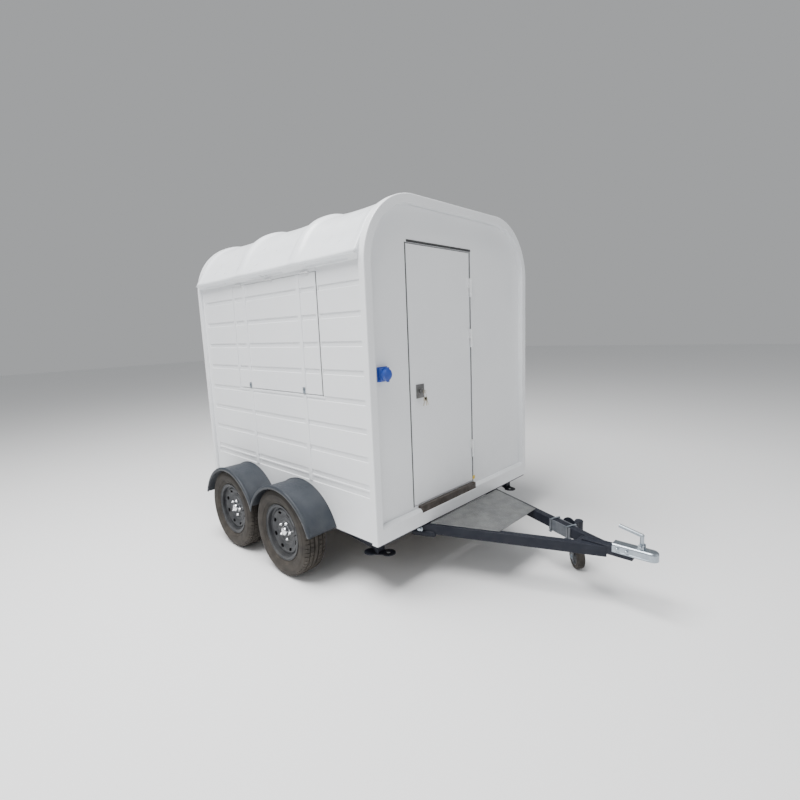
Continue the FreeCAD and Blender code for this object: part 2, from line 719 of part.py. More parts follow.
front_wall = end_wall("front_wall", PANEL_FRONT, True)
doorway = sketch_on(front_wall, "front_wall_doorway", YZ, PANEL_FRONT)
rectangle(doorway, DOOR_SIDES, ("door_bottom", "door_top"))
pocket(front_wall, doorway)
end_wall("rear_wall", PANEL_REAR, False)

ribbed_panel("right_wall", RIGHT, WALL_ENDS, WALL_LEVELS, WALL_GROOVES, RIB_TOP,
             (HATCH_ENDS, HATCH_LEVELS))
ribbed_panel("left_wall", LEFT, WALL_ENDS, WALL_LEVELS, WALL_GROOVES, RIB_TOP)
ribbed_panel("hatch_panel", RIGHT, LEAF_ENDS, LEAF_LEVELS, LEAF_GROOVES, LEAF_LEVELS[1])
roof_shell()
soffits()

keep("floor_panel", box("floor_panel", (CABIN_REAR, CABIN_FRONT), (f"-{WALL_IN}", WALL_IN),
                        (RAIL_TOP, f"{RAIL_TOP} + floor_thickness")))
keep("door_sill", box("door_sill", (PANEL_FRONT, f"{FRONT} - sill_back"), SILL_SIDES, SILL_LEVELS))
keep("door_panel", box("door_panel", (CABIN_FRONT, PANEL_FRONT),
                       ("door_gap - door_right", "door_left - door_gap"),
                       ("door_bottom + door_gap", "door_top - door_gap")))


# ---------------------------------------------------------------- hinges, lock, latches, inlet

class Hinge:
    """Weld-on barrel hinges on one axis: a fixed half with its pin and a turning half."""

    def __init__(self, name, radius, pin, length, along):
        self.name = name
        self.radius = radius
        self.pin = pin
        self.length = length
        self.along = along
        self.fixed = []
        self.turning = []

    def bar(self, name, radius, start, end, axis_place):
        """A round bar along the hinge's axis between two expressions."""
        if self.along == "z":
            return rod(name, radius, f"({end}) - ({start})", (*axis_place, start))
        return rod(name, radius, f"({end}) - ({start})", (start, *axis_place), ALONG_X)

    def add(self, mark, centre, axis_place, fixed_lug, turning_lug):
        """One hinge about a centre; each lug is its two cross ranges."""
        name = f"{self.name}_{mark}"
        start = f"({centre} - {self.length} / 2)"
        end = f"({centre} + {self.length} / 2)"
        below = f"({centre} - knuckle_gap / 2)"
        above = f"({centre} + knuckle_gap / 2)"
        tip = f"({end} - {self.radius})"
        self.fixed.append(fuse(name + "_fixed", [
            self.bar(name + "_barrel", self.radius, start, below, axis_place),
            self.bar(name + "_pin", self.pin, start, tip, axis_place),
            self.lug(name + "_lug", (start, below), fixed_lug),
        ]))
        sleeve = fuse(name + "_sleeve", [
            self.bar(name + "_knuckle", self.radius, above, end, axis_place),
            self.lug(name + "_leaf", (above, end), turning_lug),
        ])
        bore = self.bar(name + "_bore", f"{self.pin} + fit", centre, f"{tip} + knuckle_gap", axis_place)
        self.turning.append(cut(name + "_turning", sleeve, bore))

    def lug(self, name, along, cross):
        """The flat piece that a barrel is welded on with."""
        if self.along == "z":
            return box(name, cross[0], cross[1], along)
        return box(name, along, cross[0], cross[1])


DOOR_AXIS = (f"({PANEL_FRONT} + barrel_radius + barrel_stand)", "door_left")
door_lug = (PANEL_FRONT, f"{PANEL_FRONT} + barrel_radius / 2")
door_hinges = Hinge("door_hinge", "barrel_radius", "hinge_pin", "hinge_length", "z")
for level in ("hinge_high", "hinge_middle", "hinge_low"):
    door_hinges.add(level, level, DOOR_AXIS,
                    (door_lug, ("door_left", "door_left + 2 * barrel_radius")),
                    (door_lug, ("door_left - barrel_lug", "door_left")))
keep("door_hinge_pins", group("door_hinge_pins", door_hinges.fixed))
keep("door_hinge_barrels", group("door_hinge_barrels", door_hinges.turning))

HATCH_AXIS = (f"(-{WALL_OUT} - small_barrel - barrel_stand)", "hatch_top")
BOWS_MIDDLE = f"({FRONT} - (bow_front + bow_rear) / 2)"
hatch_lug = (f"-{WALL_OUT} - small_barrel / 2", f"-{WALL_OUT}")
hatch_hinges = Hinge("hatch_hinge", "small_barrel", "small_pin", "small_hinge", "x")
for mark, place_along in (("front", f"({HATCH_FRONT} - hinge_inset)"),
                          ("middle", f"({BOWS_MIDDLE} + hinge_shift)"),
                          ("rear", f"({HATCH_REAR} + hinge_inset)")):
    hatch_hinges.add(mark, place_along, HATCH_AXIS,
                     (hatch_lug, ("hatch_top", "hatch_top + 2 * small_barrel")),
                     (hatch_lug, ("hatch_top - small_lug", "hatch_top")))
keep("hatch_hinge_pins", group("hatch_hinge_pins", hatch_hinges.fixed))
keep("hatch_hinge_barrels", group("hatch_hinge_barrels", hatch_hinges.turning))

LOCK_SIDE = "(lock_inset - door_right)"
keep("door_lock", fuse("door_lock", [
    box("lock_plate_block", (PANEL_FRONT, f"{PANEL_FRONT} + lock_plate"),
        middle(LOCK_SIDE, "lock_width"), middle("lock_level", "lock_height")),
    rod("lock_knob", "knob_radius", "knob_length", (PANEL_FRONT, LOCK_SIDE, "lock_level"), ALONG_X),
]))

keep("power_inlet", fuse("power_inlet", [
    box("inlet_housing", (PANEL_FRONT, f"{PANEL_FRONT} + inlet_depth / 2"),
        middle("-inlet_offset", "inlet_width"), middle("inlet_level", "inlet_height")),
    rod("inlet_cover", "inlet_cap", "inlet_depth",
        (PANEL_FRONT, "-inlet_offset", "inlet_level"), ALONG_X),
]))

latches = []
for bow in ("bow_front", "bow_rear"):
    latches.append(box(f"latch_{bow}", middle(f"{FRONT} - {bow}", "latch_width"),
                       (f"-({WALL_OUT} + rib_proud + latch_depth)", f"-({WALL_OUT} + rib_proud)"),
                       (LEAF_LEVELS[0], f"{LEAF_LEVELS[0]} + latch_height")))
keep("hatch_latches", group("hatch_latches", latches))


# ---------------------------------------------------------------- chassis and drawbar

RAIL = ("chassis_bottom", RAIL_TOP)
FLANGE = ("chassis_bottom", "body_bottom")
FLANGE_OUT = f"({WALL_OUT} - flange_inset)"
RAIL_IN = f"({WALL_IN} - rail_width)"
SWING_FRONT = {end: f"({axle} + swing_length)" for end, axle in AXLES.items()}
CROSS_MEMBERS = {
    "head": f"({CABIN_FRONT} - cross_width / 2)",
    "arms": f"({FRONT} - drawbar_tail)",
    "front_beam": SWING_FRONT["front"],
    "rear_beam": SWING_FRONT["rear"],
    "tail": f"({CABIN_REAR} + cross_width / 2)",
}
frame_pieces = []
for side in (RIGHT, LEFT):
    frame_pieces.append(box(f"rail_{side}", (CABIN_REAR, CABIN_FRONT), span(side, RAIL_IN, WALL_IN), RAIL))
    frame_pieces.append(box(f"flange_{side}", (f"{REAR} + flange_inset", f"{FRONT} - flange_inset"),
                            span(side, RAIL_IN, FLANGE_OUT), FLANGE))
for mark, station in CROSS_MEMBERS.items():
    frame_pieces.append(box(f"cross_{mark}", middle(station, "cross_width"),
                            (f"-{WALL_IN}", WALL_IN), RAIL))
frame_pieces.append(box("flange_head", (f"{CABIN_FRONT} - cross_width", f"{FRONT} - flange_inset"),
                        (f"-{FLANGE_OUT}", FLANGE_OUT), FLANGE))
frame_pieces.append(box("flange_tail", (f"{REAR} + flange_inset", f"{CABIN_REAR} + cross_width"),
                        (f"-{FLANGE_OUT}", FLANGE_OUT), FLANGE))
keep("chassis_frame", fuse("chassis_frame", frame_pieces))


def drawbar_arm(side):
    """One box-section arm, from under the cabin to the side of the nose tube."""
    label = f"drawbar_arm_{side}"
    body = new_body(label)
    plan = sketch_on(body, label + "_plan", XY, "chassis_bottom")
    sign = "" if side == LEFT else "-1 * "
    half = f"(arm_width / 2 / cos({ARM_ANGLE}))"

    def edge(ahead, shift):
        return f"(drawbar_root * (1 - ({ahead}) / drawbar_reach) {shift} {half})"

    tail = "-drawbar_tail"
    meet_in = f"(drawbar_reach * (1 - (nose_width / 2 + {half}) / drawbar_root))"
    meet_out = f"(drawbar_reach * (1 - (nose_width / 2 - {half}) / drawbar_root))"
    polygon(plan, [
        (f"{FRONT} + {tail}", f"{sign}{edge(tail, '-')}"),
        (f"{FRONT} + {meet_in}", f"{sign}(nose_width / 2)"),
        (f"{FRONT} + {meet_out}", f"{sign}(nose_width / 2)"),
        (f"{FRONT} + {tail}", f"{sign}{edge(tail, '+')}"),
    ])
    pad(body, plan, "arm_height", True)
    return keep(label, body)


drawbar_arm(RIGHT)
drawbar_arm(LEFT)

gusset = new_body("drawbar_gusset")
gusset_plan = sketch_on(gusset, "drawbar_gusset_plan", XY, "chassis_bottom - gusset_drop")
GUSSET_HALF = f"(arm_width / 2 / cos({ARM_ANGLE}))"
GUSSET_REAR = f"(drawbar_root * (1 - gusset_start / drawbar_reach) - {GUSSET_HALF})"
GUSSET_FRONT = f"(drawbar_root * (1 - nose_start / drawbar_reach) - {GUSSET_HALF})"
polygon(gusset_plan, [
    (f"{FRONT} + gusset_start", f"-{GUSSET_REAR}"),
    (f"{FRONT} + nose_start", f"-{GUSSET_FRONT}"),
    (f"{FRONT} + nose_start", GUSSET_FRONT),
    (f"{FRONT} + gusset_start", GUSSET_REAR),
])
pad(gusset, gusset_plan, "gusset_thickness", True)
keep("drawbar_nose", fuse("drawbar_nose", [
    gusset,
    box("nose_tube", (f"{FRONT} + nose_start", f"{FRONT} + nose_end"),
        middle("0", "nose_width"), (f"{NOSE_TOP} - nose_height", NOSE_TOP)),
]))

tread = new_body("tread_plate")
tread_plan = sketch_on(tread, "tread_plate_plan", XY, "chassis_bottom")
TREAD_REAR = "(drawbar_root * (1 - plate_back / drawbar_reach))"
TREAD_FRONT = "(drawbar_root * (1 - plate_front / drawbar_reach))"
polygon(tread_plan, [
    (f"{FRONT} + plate_back", f"-{TREAD_REAR}"),
    (f"{FRONT} + plate_front", f"-{TREAD_FRONT}"),
    (f"{FRONT} + plate_front", TREAD_FRONT),
    (f"{FRONT} + plate_back", TREAD_REAR),
])
pad(tread, tread_plan, "plate_thickness")
keep("tread_plate", tread)


# ---------------------------------------------------------------- coupler

COUPLER_HALF = "(coupler_width / 2)"
BALL = f"({FRONT} + coupler_reach - {COUPLER_HALF})"
COUPLER_BOTTOM = f"({COUPLER_TOP} - coupler_skirt)"
HANDLE_AXIS = (f"({FRONT} + handle_place)", "0", f"({COUPLER_TOP} + handle_lift)")

shell = new_body("coupler_shell")
shell_back = sketch_on(shell, "coupler_back", XY, COUPLER_TOP)
rectangle(shell_back, (f"{FRONT} + coupler_start", BALL), middle("0", "coupler_width"))
pad(shell, shell_back, "coupler_skirt", True)
shell_nose = sketch_on(shell, "coupler_nose", XY, COUPLER_TOP)
disc(shell_nose, COUPLER_HALF, BALL)
pad(shell, shell_nose, "coupler_skirt", True)
crown_level = number(COUPLER_TOP)
dress(shell, "Fillet", "Radius",
      lambda bounds: bounds.ZMin > crown_level - NEAR and bounds.XMax > number(BALL) - NEAR,
      "coupler_round")
channel = sketch_on(shell, "coupler_channel", XY, COUPLER_BOTTOM)
rectangle(channel, (f"{FRONT} + coupler_start", f"{FRONT} + nose_end"), middle("0", "nose_width"))
pocket(shell, channel, "coupler_skirt - coupler_rise", True)
seat = sketch_on(shell, "coupler_seat", XY, COUPLER_BOTTOM)
disc(seat, "socket_radius", BALL)
pocket(shell, seat, "socket_depth", True)

ears = [rod("handle_pin_bar", "handle_pin", "2 * (handle_rod + ear_gap + ear_thickness)",
            (HANDLE_AXIS[0], "-(handle_rod + ear_gap + ear_thickness)", HANDLE_AXIS[2]), ALONG_Y)]
for side in (RIGHT, LEFT):
    ears.append(box(f"ear_{side}", middle(HANDLE_AXIS[0], "ear_width"),
                    span(side, "handle_rod + ear_gap", "handle_rod + ear_gap + ear_thickness"),
                    (f"{COUPLER_TOP} - ear_gap", f"{HANDLE_AXIS[2]} + handle_rod")))
keep("coupler_body", fuse("coupler_body", [shell, *ears]))

ELBOW = f"({HANDLE_AXIS[2]} + handle_post)"
grip = rod("handle_grip_bar", "handle_rod", "handle_grip", (HANDLE_AXIS[0], "0", ELBOW),
           Rotation(Vector(0, -1, 0), QUARTER_TURN))
bind(grip, "Placement.Rotation.Angle", f"{QUARTER_TURN} - handle_tilt")
elbow = doc.addObject("Part::Sphere", "handle_elbow")
bind(elbow, "Radius", "handle_rod + knuckle_gap")
place(elbow, HANDLE_AXIS[0], "0", ELBOW)
handle = fuse("handle_blank", [
    rod("handle_boss", "handle_lift - ear_gap", "2 * (handle_rod + knuckle_gap)",
        (HANDLE_AXIS[0], "-handle_rod - knuckle_gap", HANDLE_AXIS[2]), ALONG_Y),
    rod("handle_post_bar", "handle_rod", "handle_post", HANDLE_AXIS),
    elbow,
    grip,
])
keep("coupler_handle", cut("coupler_handle", handle, rod(
    "handle_bore", "handle_pin + fit", "2 * (handle_rod + knuckle_gap)",
    (HANDLE_AXIS[0], "-handle_rod - knuckle_gap", HANDLE_AXIS[2]), ALONG_Y)))


# ---------------------------------------------------------------- axles, wheels, mudguards

BORE = "(spindle_radius + fit)"
HUB_START = "(disc_offset + disc_wall - hub_inside)"
HUB_END = "(disc_offset + disc_wall + hub_length - hub_inside)"
SPINDLE_END = "(disc_offset + disc_wall)"
RIM_HALF = "(rim_width / 2)"
SWING_OUT = "(swing_place + swing_width)"


def axle(end):
    """A square beam with trailing arms, spindles and brake drums at both ends."""
    wheel = AXLES[end]
    beam = SWING_FRONT[end]
    label = f"{end}_axle"
    pieces = [box(label + "_beam", middle(beam, "beam_size"), (f"-{SWING_OUT}", SWING_OUT),
                  ("chassis_bottom - beam_size", "chassis_bottom"))]
    for side in (RIGHT, LEFT):
        low, high = span(side, "swing_place", SWING_OUT)
        name = f"{label}_{side}"
        pieces.append(box(name + "_swing", (wheel, beam), (low, high),
                          ("tyre_radius - swing_width", "chassis_bottom - beam_rise")))
        pieces.append(rod(name + "_eye", "eye_radius", "swing_width",
                          (wheel, low, "tyre_radius"), ALONG_Y))
        spindle = span(side, "swing_place", f"{WHEEL_MID} + {SPINDLE_END}")
        pieces.append(rod(name + "_spindle", "spindle_radius", f"({spindle[1]}) - ({spindle[0]})",
                          (wheel, spindle[0], "tyre_radius"), ALONG_Y))
        drum = span(side, "drum_start", "drum_start + drum_width")
        pieces.append(rod(name + "_drum", "drum_radius", "drum_width",
                          (wheel, drum[0], "tyre_radius"), ALONG_Y))
    return keep(label, fuse(label, pieces))


def tyre(label):
    """A tyre about the sideways axis: square section with rounded shoulders."""
    body = new_body(label)
    section = sketch_on(body, label + "_section", YZ)
    rise = "(flange_radius + disc_wall)"
    half = "(tyre_width / 2)"
    seat_half = f"({RIM_HALF} - barrel_wall)"
    polygon(section, [
        (f"-{seat_half}", "bead_radius"), (seat_half, "bead_radius"), (seat_half, rise),
        (half, rise), (half, "tyre_radius"), (f"-{half}", "tyre_radius"), (f"-{half}", rise),
        (f"-{seat_half}", rise),
    ])
    revolve(body, section)
    outer = number("tyre_radius")
    side = number(half)

    def shoulder(bounds):
        return bounds.YLength < NEAR and abs(bounds.ZMax - outer) < NEAR and abs(bounds.YMax) > side - NEAR

    dress(body, "Fillet", "Radius", shoulder, "tyre_shoulder")
    return body


def rim(label):
    """A pressed steel wheel: barrel with two edges, dished disc with windows, and a hub."""
    body = new_body(label)
    inner = "(bead_radius - barrel_wall)"
    edge = f"({RIM_HALF} - barrel_wall)"
    barrel = sketch_on(body, label + "_barrel", YZ)
    polygon(barrel, [
        (f"-{RIM_HALF}", inner), (RIM_HALF, inner), (RIM_HALF, "flange_radius"),
        (edge, "flange_radius"), (edge, "bead_radius"), (f"-{edge}", "bead_radius"),
        (f"-{edge}", "flange_radius"), (f"-{RIM_HALF}", "flange_radius"),
    ])
    revolve(body, barrel)
    dish = sketch_on(body, label + "_dish", YZ)
    step = "disc_step"
    low = "dish_radius"
    high = f"({low} + 2 * {step})"
    polygon(dish, [
        ("disc_offset", "hub_radius / 2"), ("disc_offset + disc_wall", "hub_radius / 2"),
        ("disc_offset + disc_wall", low), (f"disc_offset + disc_wall + {step}", high),
        (f"disc_offset + disc_wall + {step}", f"{inner} + barrel_wall / 2"),
        (f"disc_offset + {step}", f"{inner} + barrel_wall / 2"), (f"disc_offset + {step}", high),
        ("disc_offset", low),
    ])
    revolve(body, dish)
    hub = sketch_on(body, label + "_hub", YZ)
    polygon(hub, [
        (HUB_START, "0"), (HUB_END, "0"), (HUB_END, "hub_radius"), (HUB_START, "hub_radius"),
    ])
    revolve(body, hub)
    bore = sketch_on(body, label + "_bore", XZ, f"-1 * {HUB_START}")
    disc(bore, BORE)
    pocket(body, bore, f"{SPINDLE_END} - {HUB_START} + fit")
    window = sketch_on(body, label + "_window", XZ, f"-1 * {HUB_END}")
    disc(window, "window_radius", "0", f"{low} + {step}")
    first = pocket(body, window)
    repeat(body, "PolarPattern", first, (window, ["N_Axis"]), "window_count")
    return body


def mudguards(side):
    """Two arches that meet in a V between the wheels, with a rolled lip along the outer edge."""
    label = f"{side}_mudguards"
    outer_edge = f"({TYRE_OUT} + guard_edge)"
    level = "(tyre_radius - guard_drop)"
    arch_span = span(side, WALL_OUT, outer_edge)
    lip_span = span(side, f"{outer_edge} - lip_width", outer_edge)

    def pair(name, radius, reach):
        return fuse(f"{label}_{name}", [
            rod(f"{label}_{name}_{end}", radius, f"({reach[1]}) - ({reach[0]})",
                (AXLES[end], reach[0], level), ALONG_Y)
            for end in AXLES])

    arches = cut(label + "_arches", pair("outer", "guard_radius", arch_span),
                 pair("inner", "guard_radius - guard_wall", arch_span))
    lip = cut(label + "_lip", pair("lip_outer", "guard_radius + lip_rise", lip_span),
              pair("lip_inner", "guard_radius - lip_fall", lip_span))
    keep_above = box(label + "_above", (f"{AXLES['rear']} - 2 * guard_radius",
                                        f"{AXLES['front']} + 2 * guard_radius"),
                     arch_span, ("guard_end", "guard_end + 2 * guard_radius"))
    return keep(label, common(label, fuse(label + "_whole", [arches, lip]), keep_above))


for end in AXLES:
    axle(end)
    for side in (RIGHT, LEFT):
        outward = ALONG_Z if side == LEFT else Rotation(Vector(0, 0, 1), HALF_TURN)
        across = WHEEL_MID if side == LEFT else f"-{WHEEL_MID}"
        for kind, build in (("tyre", tyre), ("rim", rim)):
            label = f"{kind}_{end}_{side}"
            keep(label, place(build(label), AXLES[end], across, "tyre_radius", outward))
mudguards(RIGHT)
mudguards(LEFT)


# ---------------------------------------------------------------- corner steadies

STEADY_LEVEL = "(chassis_bottom - steady_drop)"
STEADY_BORE = "(steady_pin + fit)"
LEG_HALF = "(steady_width / 2)"
CHEEK_IN = f"({LEG_HALF} + ear_gap)"
CHEEK_OUT = f"({CHEEK_IN} + cheek_thickness)"
LEG_END = "(steady_height / 2)"


def steady_pivot(end):
    """The station of a steady's pivot, and its turn so that its leg points at the corner."""
    if end == "front":
        return f"({FRONT} - steady_pivot)"
    return f"({REAR} + steady_pivot)"


def steady_bracket(end, side):
    """Two cheeks and a pin under a chassis rail."""
    name = f"steady_bracket_{end}_{side}"
    station = steady_pivot(end)
    across = "steady_place" if side == LEFT else "-steady_place"
    pieces = [
        box(name + "_top", middle(station, "2 * steady_height"),
            span(side, f"steady_place - {CHEEK_OUT}", WALL_IN),
            ("chassis_bottom - cheek_thickness", "chassis_bottom")),
        rod(name + "_pin", "steady_pin", f"2 * {CHEEK_OUT}",
            (station, f"{across} - {CHEEK_OUT}", STEADY_LEVEL), ALONG_Y),
    ]
    for mark, low, high in (("inner", f"-{CHEEK_OUT}", f"-{CHEEK_IN}"), ("outer", CHEEK_IN, CHEEK_OUT)):
        pieces.append(box(f"{name}_{mark}", middle(station, "steady_height"),
                          (f"{across} + {low}", f"{across} + {high}"),
                          (f"{STEADY_LEVEL} - {LEG_END}", "chassis_bottom")))
    return fuse(name, pieces)


def steady_leg(end, side):
    """A raised leg: a bar with a pin hole at each end, sloping down towards the corner."""
    label = f"steady_leg_{end}_{side}"
    bar = box(label + "_bar", ("-steady_tail", f"steady_length + {LEG_END}"),
              middle("0", "steady_width"), middle("0", "steady_height"))
    holes = [rod(f"{label}_hole{mark}", STEADY_BORE, "steady_width", (reach, f"-{LEG_HALF}", "0"), ALONG_Y)
             for mark, reach in enumerate(("0", "steady_length"))]
    leg = cut(label, bar, fuse(label + "_holes", holes))
    across = "steady_place" if side == LEFT else "-steady_place"
    place(leg, steady_pivot(end), across, STEADY_LEVEL, steady_turn(end, "steady_slope"))
    return keep(label, leg)


def steady_turn(end, slope):
    """The turn of a leg that points at the front or rear corner and slopes down."""
    down = Rotation(Vector(0, 1, 0), number(slope))
    if end == "front":
        return down
    return Rotation(Vector(0, 0, 1), HALF_TURN).multiply(down)


def steady_foot(end, side):
    """A level foot with two round lobes set askew, hung on the leg's lower pin."""
    label = f"steady_foot_{end}_{side}"
    level = ("-foot_pin_rise", "foot_thickness - foot_pin_rise")
    pieces = [box(label + "_web", middle("0", "foot_span"), middle("0", "foot_waist"), level)]
    for mark, shift in (("near", "-foot_span / 2"), ("far", "foot_span / 2")):
        pieces.append(rod(f"{label}_{mark}_lobe", "foot_lobe", "foot_thickness", (shift, "0", level[0])))
    hole = rod(label + "_opening", "foot_hole", "foot_thickness", ("foot_span / 2", "0", level[0]))
    plate = cut(label + "_plate", fuse(label + "_blank", pieces), hole)
    heading = 0 if end == "front" else HALF_TURN
    lean = 1 if (end == "front") == (side == RIGHT) else -1
    place(plate, turn=Rotation(Vector(0, 0, 1), heading + lean * number("foot_turn")))
    hung = [plate, rod(label + "_pin", "steady_pin", f"2 * {CHEEK_OUT}",
                       ("0", f"-{CHEEK_OUT}", "0"), ALONG_Y)]
    for mark, low, high in (("inner", f"-{CHEEK_OUT}", f"-{CHEEK_IN}"), ("outer", CHEEK_IN, CHEEK_OUT)):
        hung.append(box(f"{label}_{mark}_ear", middle("0", "steady_height"), (low, high),
                        (level[0], "foot_ear_rise")))
    foot = fuse(label, hung)
    across = "steady_place" if side == LEFT else "-steady_place"
    sign = "+" if end == "front" else "-"
    place(foot, f"{steady_pivot(end)} {sign} steady_length * cos(steady_slope)", across,
          f"{STEADY_LEVEL} - steady_length * sin(steady_slope)")
    return keep(label, foot)


brackets = []
for end in AXLES:
    for side in (RIGHT, LEFT):
        brackets.append(steady_bracket(end, side))
        steady_leg(end, side)
        steady_foot(end, side)
keep("steady_brackets", group("steady_brackets", brackets))


# ---------------------------------------------------------------- jockey wheel

MOUNT_Y = "(drawbar_root * (1 - jockey_place / drawbar_reach))"
MOUNT_PLACE = (f"({FRONT} + jockey_place)", MOUNT_Y, "0")
LEG_X = f"({FRONT} + jockey_place + jockey_offset * sin({ARM_ANGLE}))"
LEG_Y = f"({MOUNT_Y} + jockey_offset * cos({ARM_ANGLE}))"
ARM_SIDE = "(arm_width / 2)"
PLATE_OUT = f"({ARM_SIDE} + mount_thickness)"
BOSS_OUT = f"({PLATE_OUT} + boss_length)"
TURN_IN = f"({BOSS_OUT} + knuckle_gap)"
TURN_OUT = f"({TURN_IN} + turn_thickness)"
PIN_OUT = f"({TURN_OUT} + boss_radius)"
PIVOT_PIN = "pivot_pin"
CROWN_LOW = "(2 * jockey_radius + fork_gap)"
CHEEK_NEAR = "(jockey_width / 2 + fork_gap)"
CHEEK_FAR = f"({CHEEK_NEAR} + fork_wall)"
ALONG_ARM = Rotation(Vector(0, 0, 1), -number(ARM_ANGLE))


def beside_arm(thing):
    """Put a piece built about the mount's own axes beside the left arm."""
    place(thing, *MOUNT_PLACE, turn=ALONG_ARM)
    return thing


keep("jockey_mount", beside_arm(fuse("jockey_mount", [
    box("mount_plate", middle("0", "mount_length"), (ARM_SIDE, PLATE_OUT),
        (f"{ARM_BOTTOM} - mount_thickness", "chassis_bottom")),
    box("mount_clamp", middle("0", "mount_length"), (f"-{PLATE_OUT}", f"-{ARM_SIDE}"),
        (f"{ARM_BOTTOM} - mount_thickness", "chassis_bottom")),
    box("mount_strap", middle("0", "mount_length"), (f"-{PLATE_OUT}", PLATE_OUT),
        (f"{ARM_BOTTOM} - mount_thickness", ARM_BOTTOM)),
    rod("mount_boss", "boss_radius", "boss_length", ("0", PLATE_OUT, "pivot_level"), ALONG_Y),
    rod("mount_pin", PIVOT_PIN, f"{PIN_OUT} - {PLATE_OUT}", ("0", PLATE_OUT, "pivot_level"), ALONG_Y),
])))

leg_blank = fuse("jockey_leg_blank", [
    rod("turn_disc", "turn_plate", "turn_thickness", ("0", TURN_IN, "pivot_level"), ALONG_Y),
    box("turn_bracket", middle("0", "turn_width"), (TURN_IN, "jockey_offset"),
        middle("pivot_level", "2 * leg_radius")),
    rod("leg_tube", "leg_radius", "leg_top - leg_bottom", ("0", "jockey_offset", "leg_bottom")),
])
leg_bores = fuse("jockey_leg_bores", [
    rod("pivot_bore", f"{PIVOT_PIN} + fit", f"{PIN_OUT} - {TURN_IN} + knuckle_gap",
        ("0", TURN_IN, "pivot_level"), ALONG_Y),
    rod("stem_bore", "stem_radius + fit", "stem_depth + knuckle_gap", ("0", "jockey_offset", "leg_bottom")),
])
keep("jockey_leg", beside_arm(cut("jockey_leg", leg_blank, leg_bores)))

AXLE_X = "-trail"
fork_pieces = [
    box("fork_crown", (f"{AXLE_X} - fork_width / 2", "fork_width / 2"),
        (f"-{CHEEK_FAR}", CHEEK_FAR), (CROWN_LOW, f"{CROWN_LOW} + fork_wall")),
    rod("fork_neck", "leg_radius", f"leg_bottom - knuckle_gap - {CROWN_LOW}", ("0", "0", CROWN_LOW)),
    rod("fork_stem", "stem_radius", f"leg_bottom + stem_depth - {CROWN_LOW}", ("0", "0", CROWN_LOW)),
    rod("fork_axle", "jockey_axle", f"2 * {CHEEK_FAR}",
        (AXLE_X, f"-{CHEEK_FAR}", "jockey_radius"), ALONG_Y),
]
for mark, low, high in (("near", f"-{CHEEK_FAR}", f"-{CHEEK_NEAR}"), ("far", CHEEK_NEAR, CHEEK_FAR)):
    fork_pieces.append(box(f"fork_cheek_{mark}", middle(AXLE_X, "fork_width"), (low, high),
                           ("jockey_radius", f"{CROWN_LOW} + fork_wall")))
    fork_pieces.append(rod(f"fork_eye_{mark}", "fork_width / 2", "fork_wall",
                           (AXLE_X, low, "jockey_radius"), ALONG_Y))
fork = fuse("jockey_fork", fork_pieces)
CASTER = Rotation(Vector(0, 0, 1), number("caster_turn"))
place(fork, LEG_X, LEG_Y, "0", CASTER)
keep("jockey_fork", fork)

jockey_wheel = cut("jockey_wheel",
                   rod("jockey_roller", "jockey_radius", "jockey_width",
                       (AXLE_X, "-jockey_width / 2", "jockey_radius"), ALONG_Y),
                   rod("jockey_bore", "jockey_axle + fit", "jockey_width",
                       (AXLE_X, "-jockey_width / 2", "jockey_radius"), ALONG_Y))
place(jockey_wheel, LEG_X, LEG_Y, "0", CASTER)
keep("jockey_wheel", jockey_wheel)


# ---------------------------------------------------------------- rear end

lamps = [box(f"tail_lamp_{side}", (f"{PANEL_REAR} - lamp_depth", PANEL_REAR),
             middle("lamp_offset" if side == LEFT else "-lamp_offset", "lamp_width"),
             middle("lamp_level", "lamp_height")) for side in (RIGHT, LEFT)]
keep("tail_lamps", group("tail_lamps", lamps))
keep("number_plate", box("number_plate", (f"{PANEL_REAR} - number_thickness", PANEL_REAR),
                         middle("0", "number_width"), middle("lamp_level", "number_height")))


# ---------------------------------------------------------------- check and write

doc.recompute()
for thing in doc.Objects:
    if "Invalid" in thing.State or "Error" in thing.State:
        raise RuntimeError(f"{thing.Name} failed: {thing.getStatusString()}")
    if thing.TypeId == "PartDesign::Pocket" and thing.Shape.Volume >= thing.BaseFeature.Shape.Volume:
        raise RuntimeError(f"{thing.Name} cuts nothing")
for label, thing in NODES.items():
    if thing.Shape.isNull() or not thing.Shape.isValid() or not thing.Shape.Solids:
        raise RuntimeError(f"{label} is not a valid solid")
for label, thing in NODES.items():
    thing.Shape.exportStep(f"parts/{label}.step")
print(len(NODES), "sub-parts written")
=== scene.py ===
"""The looks of a two-axle food trailer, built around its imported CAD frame.

Frame: +X towards the coupler, +Y to the trailer's left, +Z up, in metres, with the origin on the
ground under the middle of the trailer.
"""
from __future__ import annotations

import json
import logging
import math
from dataclasses import dataclass
from enum import Enum
from typing import Iterable, Sequence

import bmesh
import bpy
from bmesh.types import BMEdge, BMesh, BMVert
from mathutils import Matrix, Vector

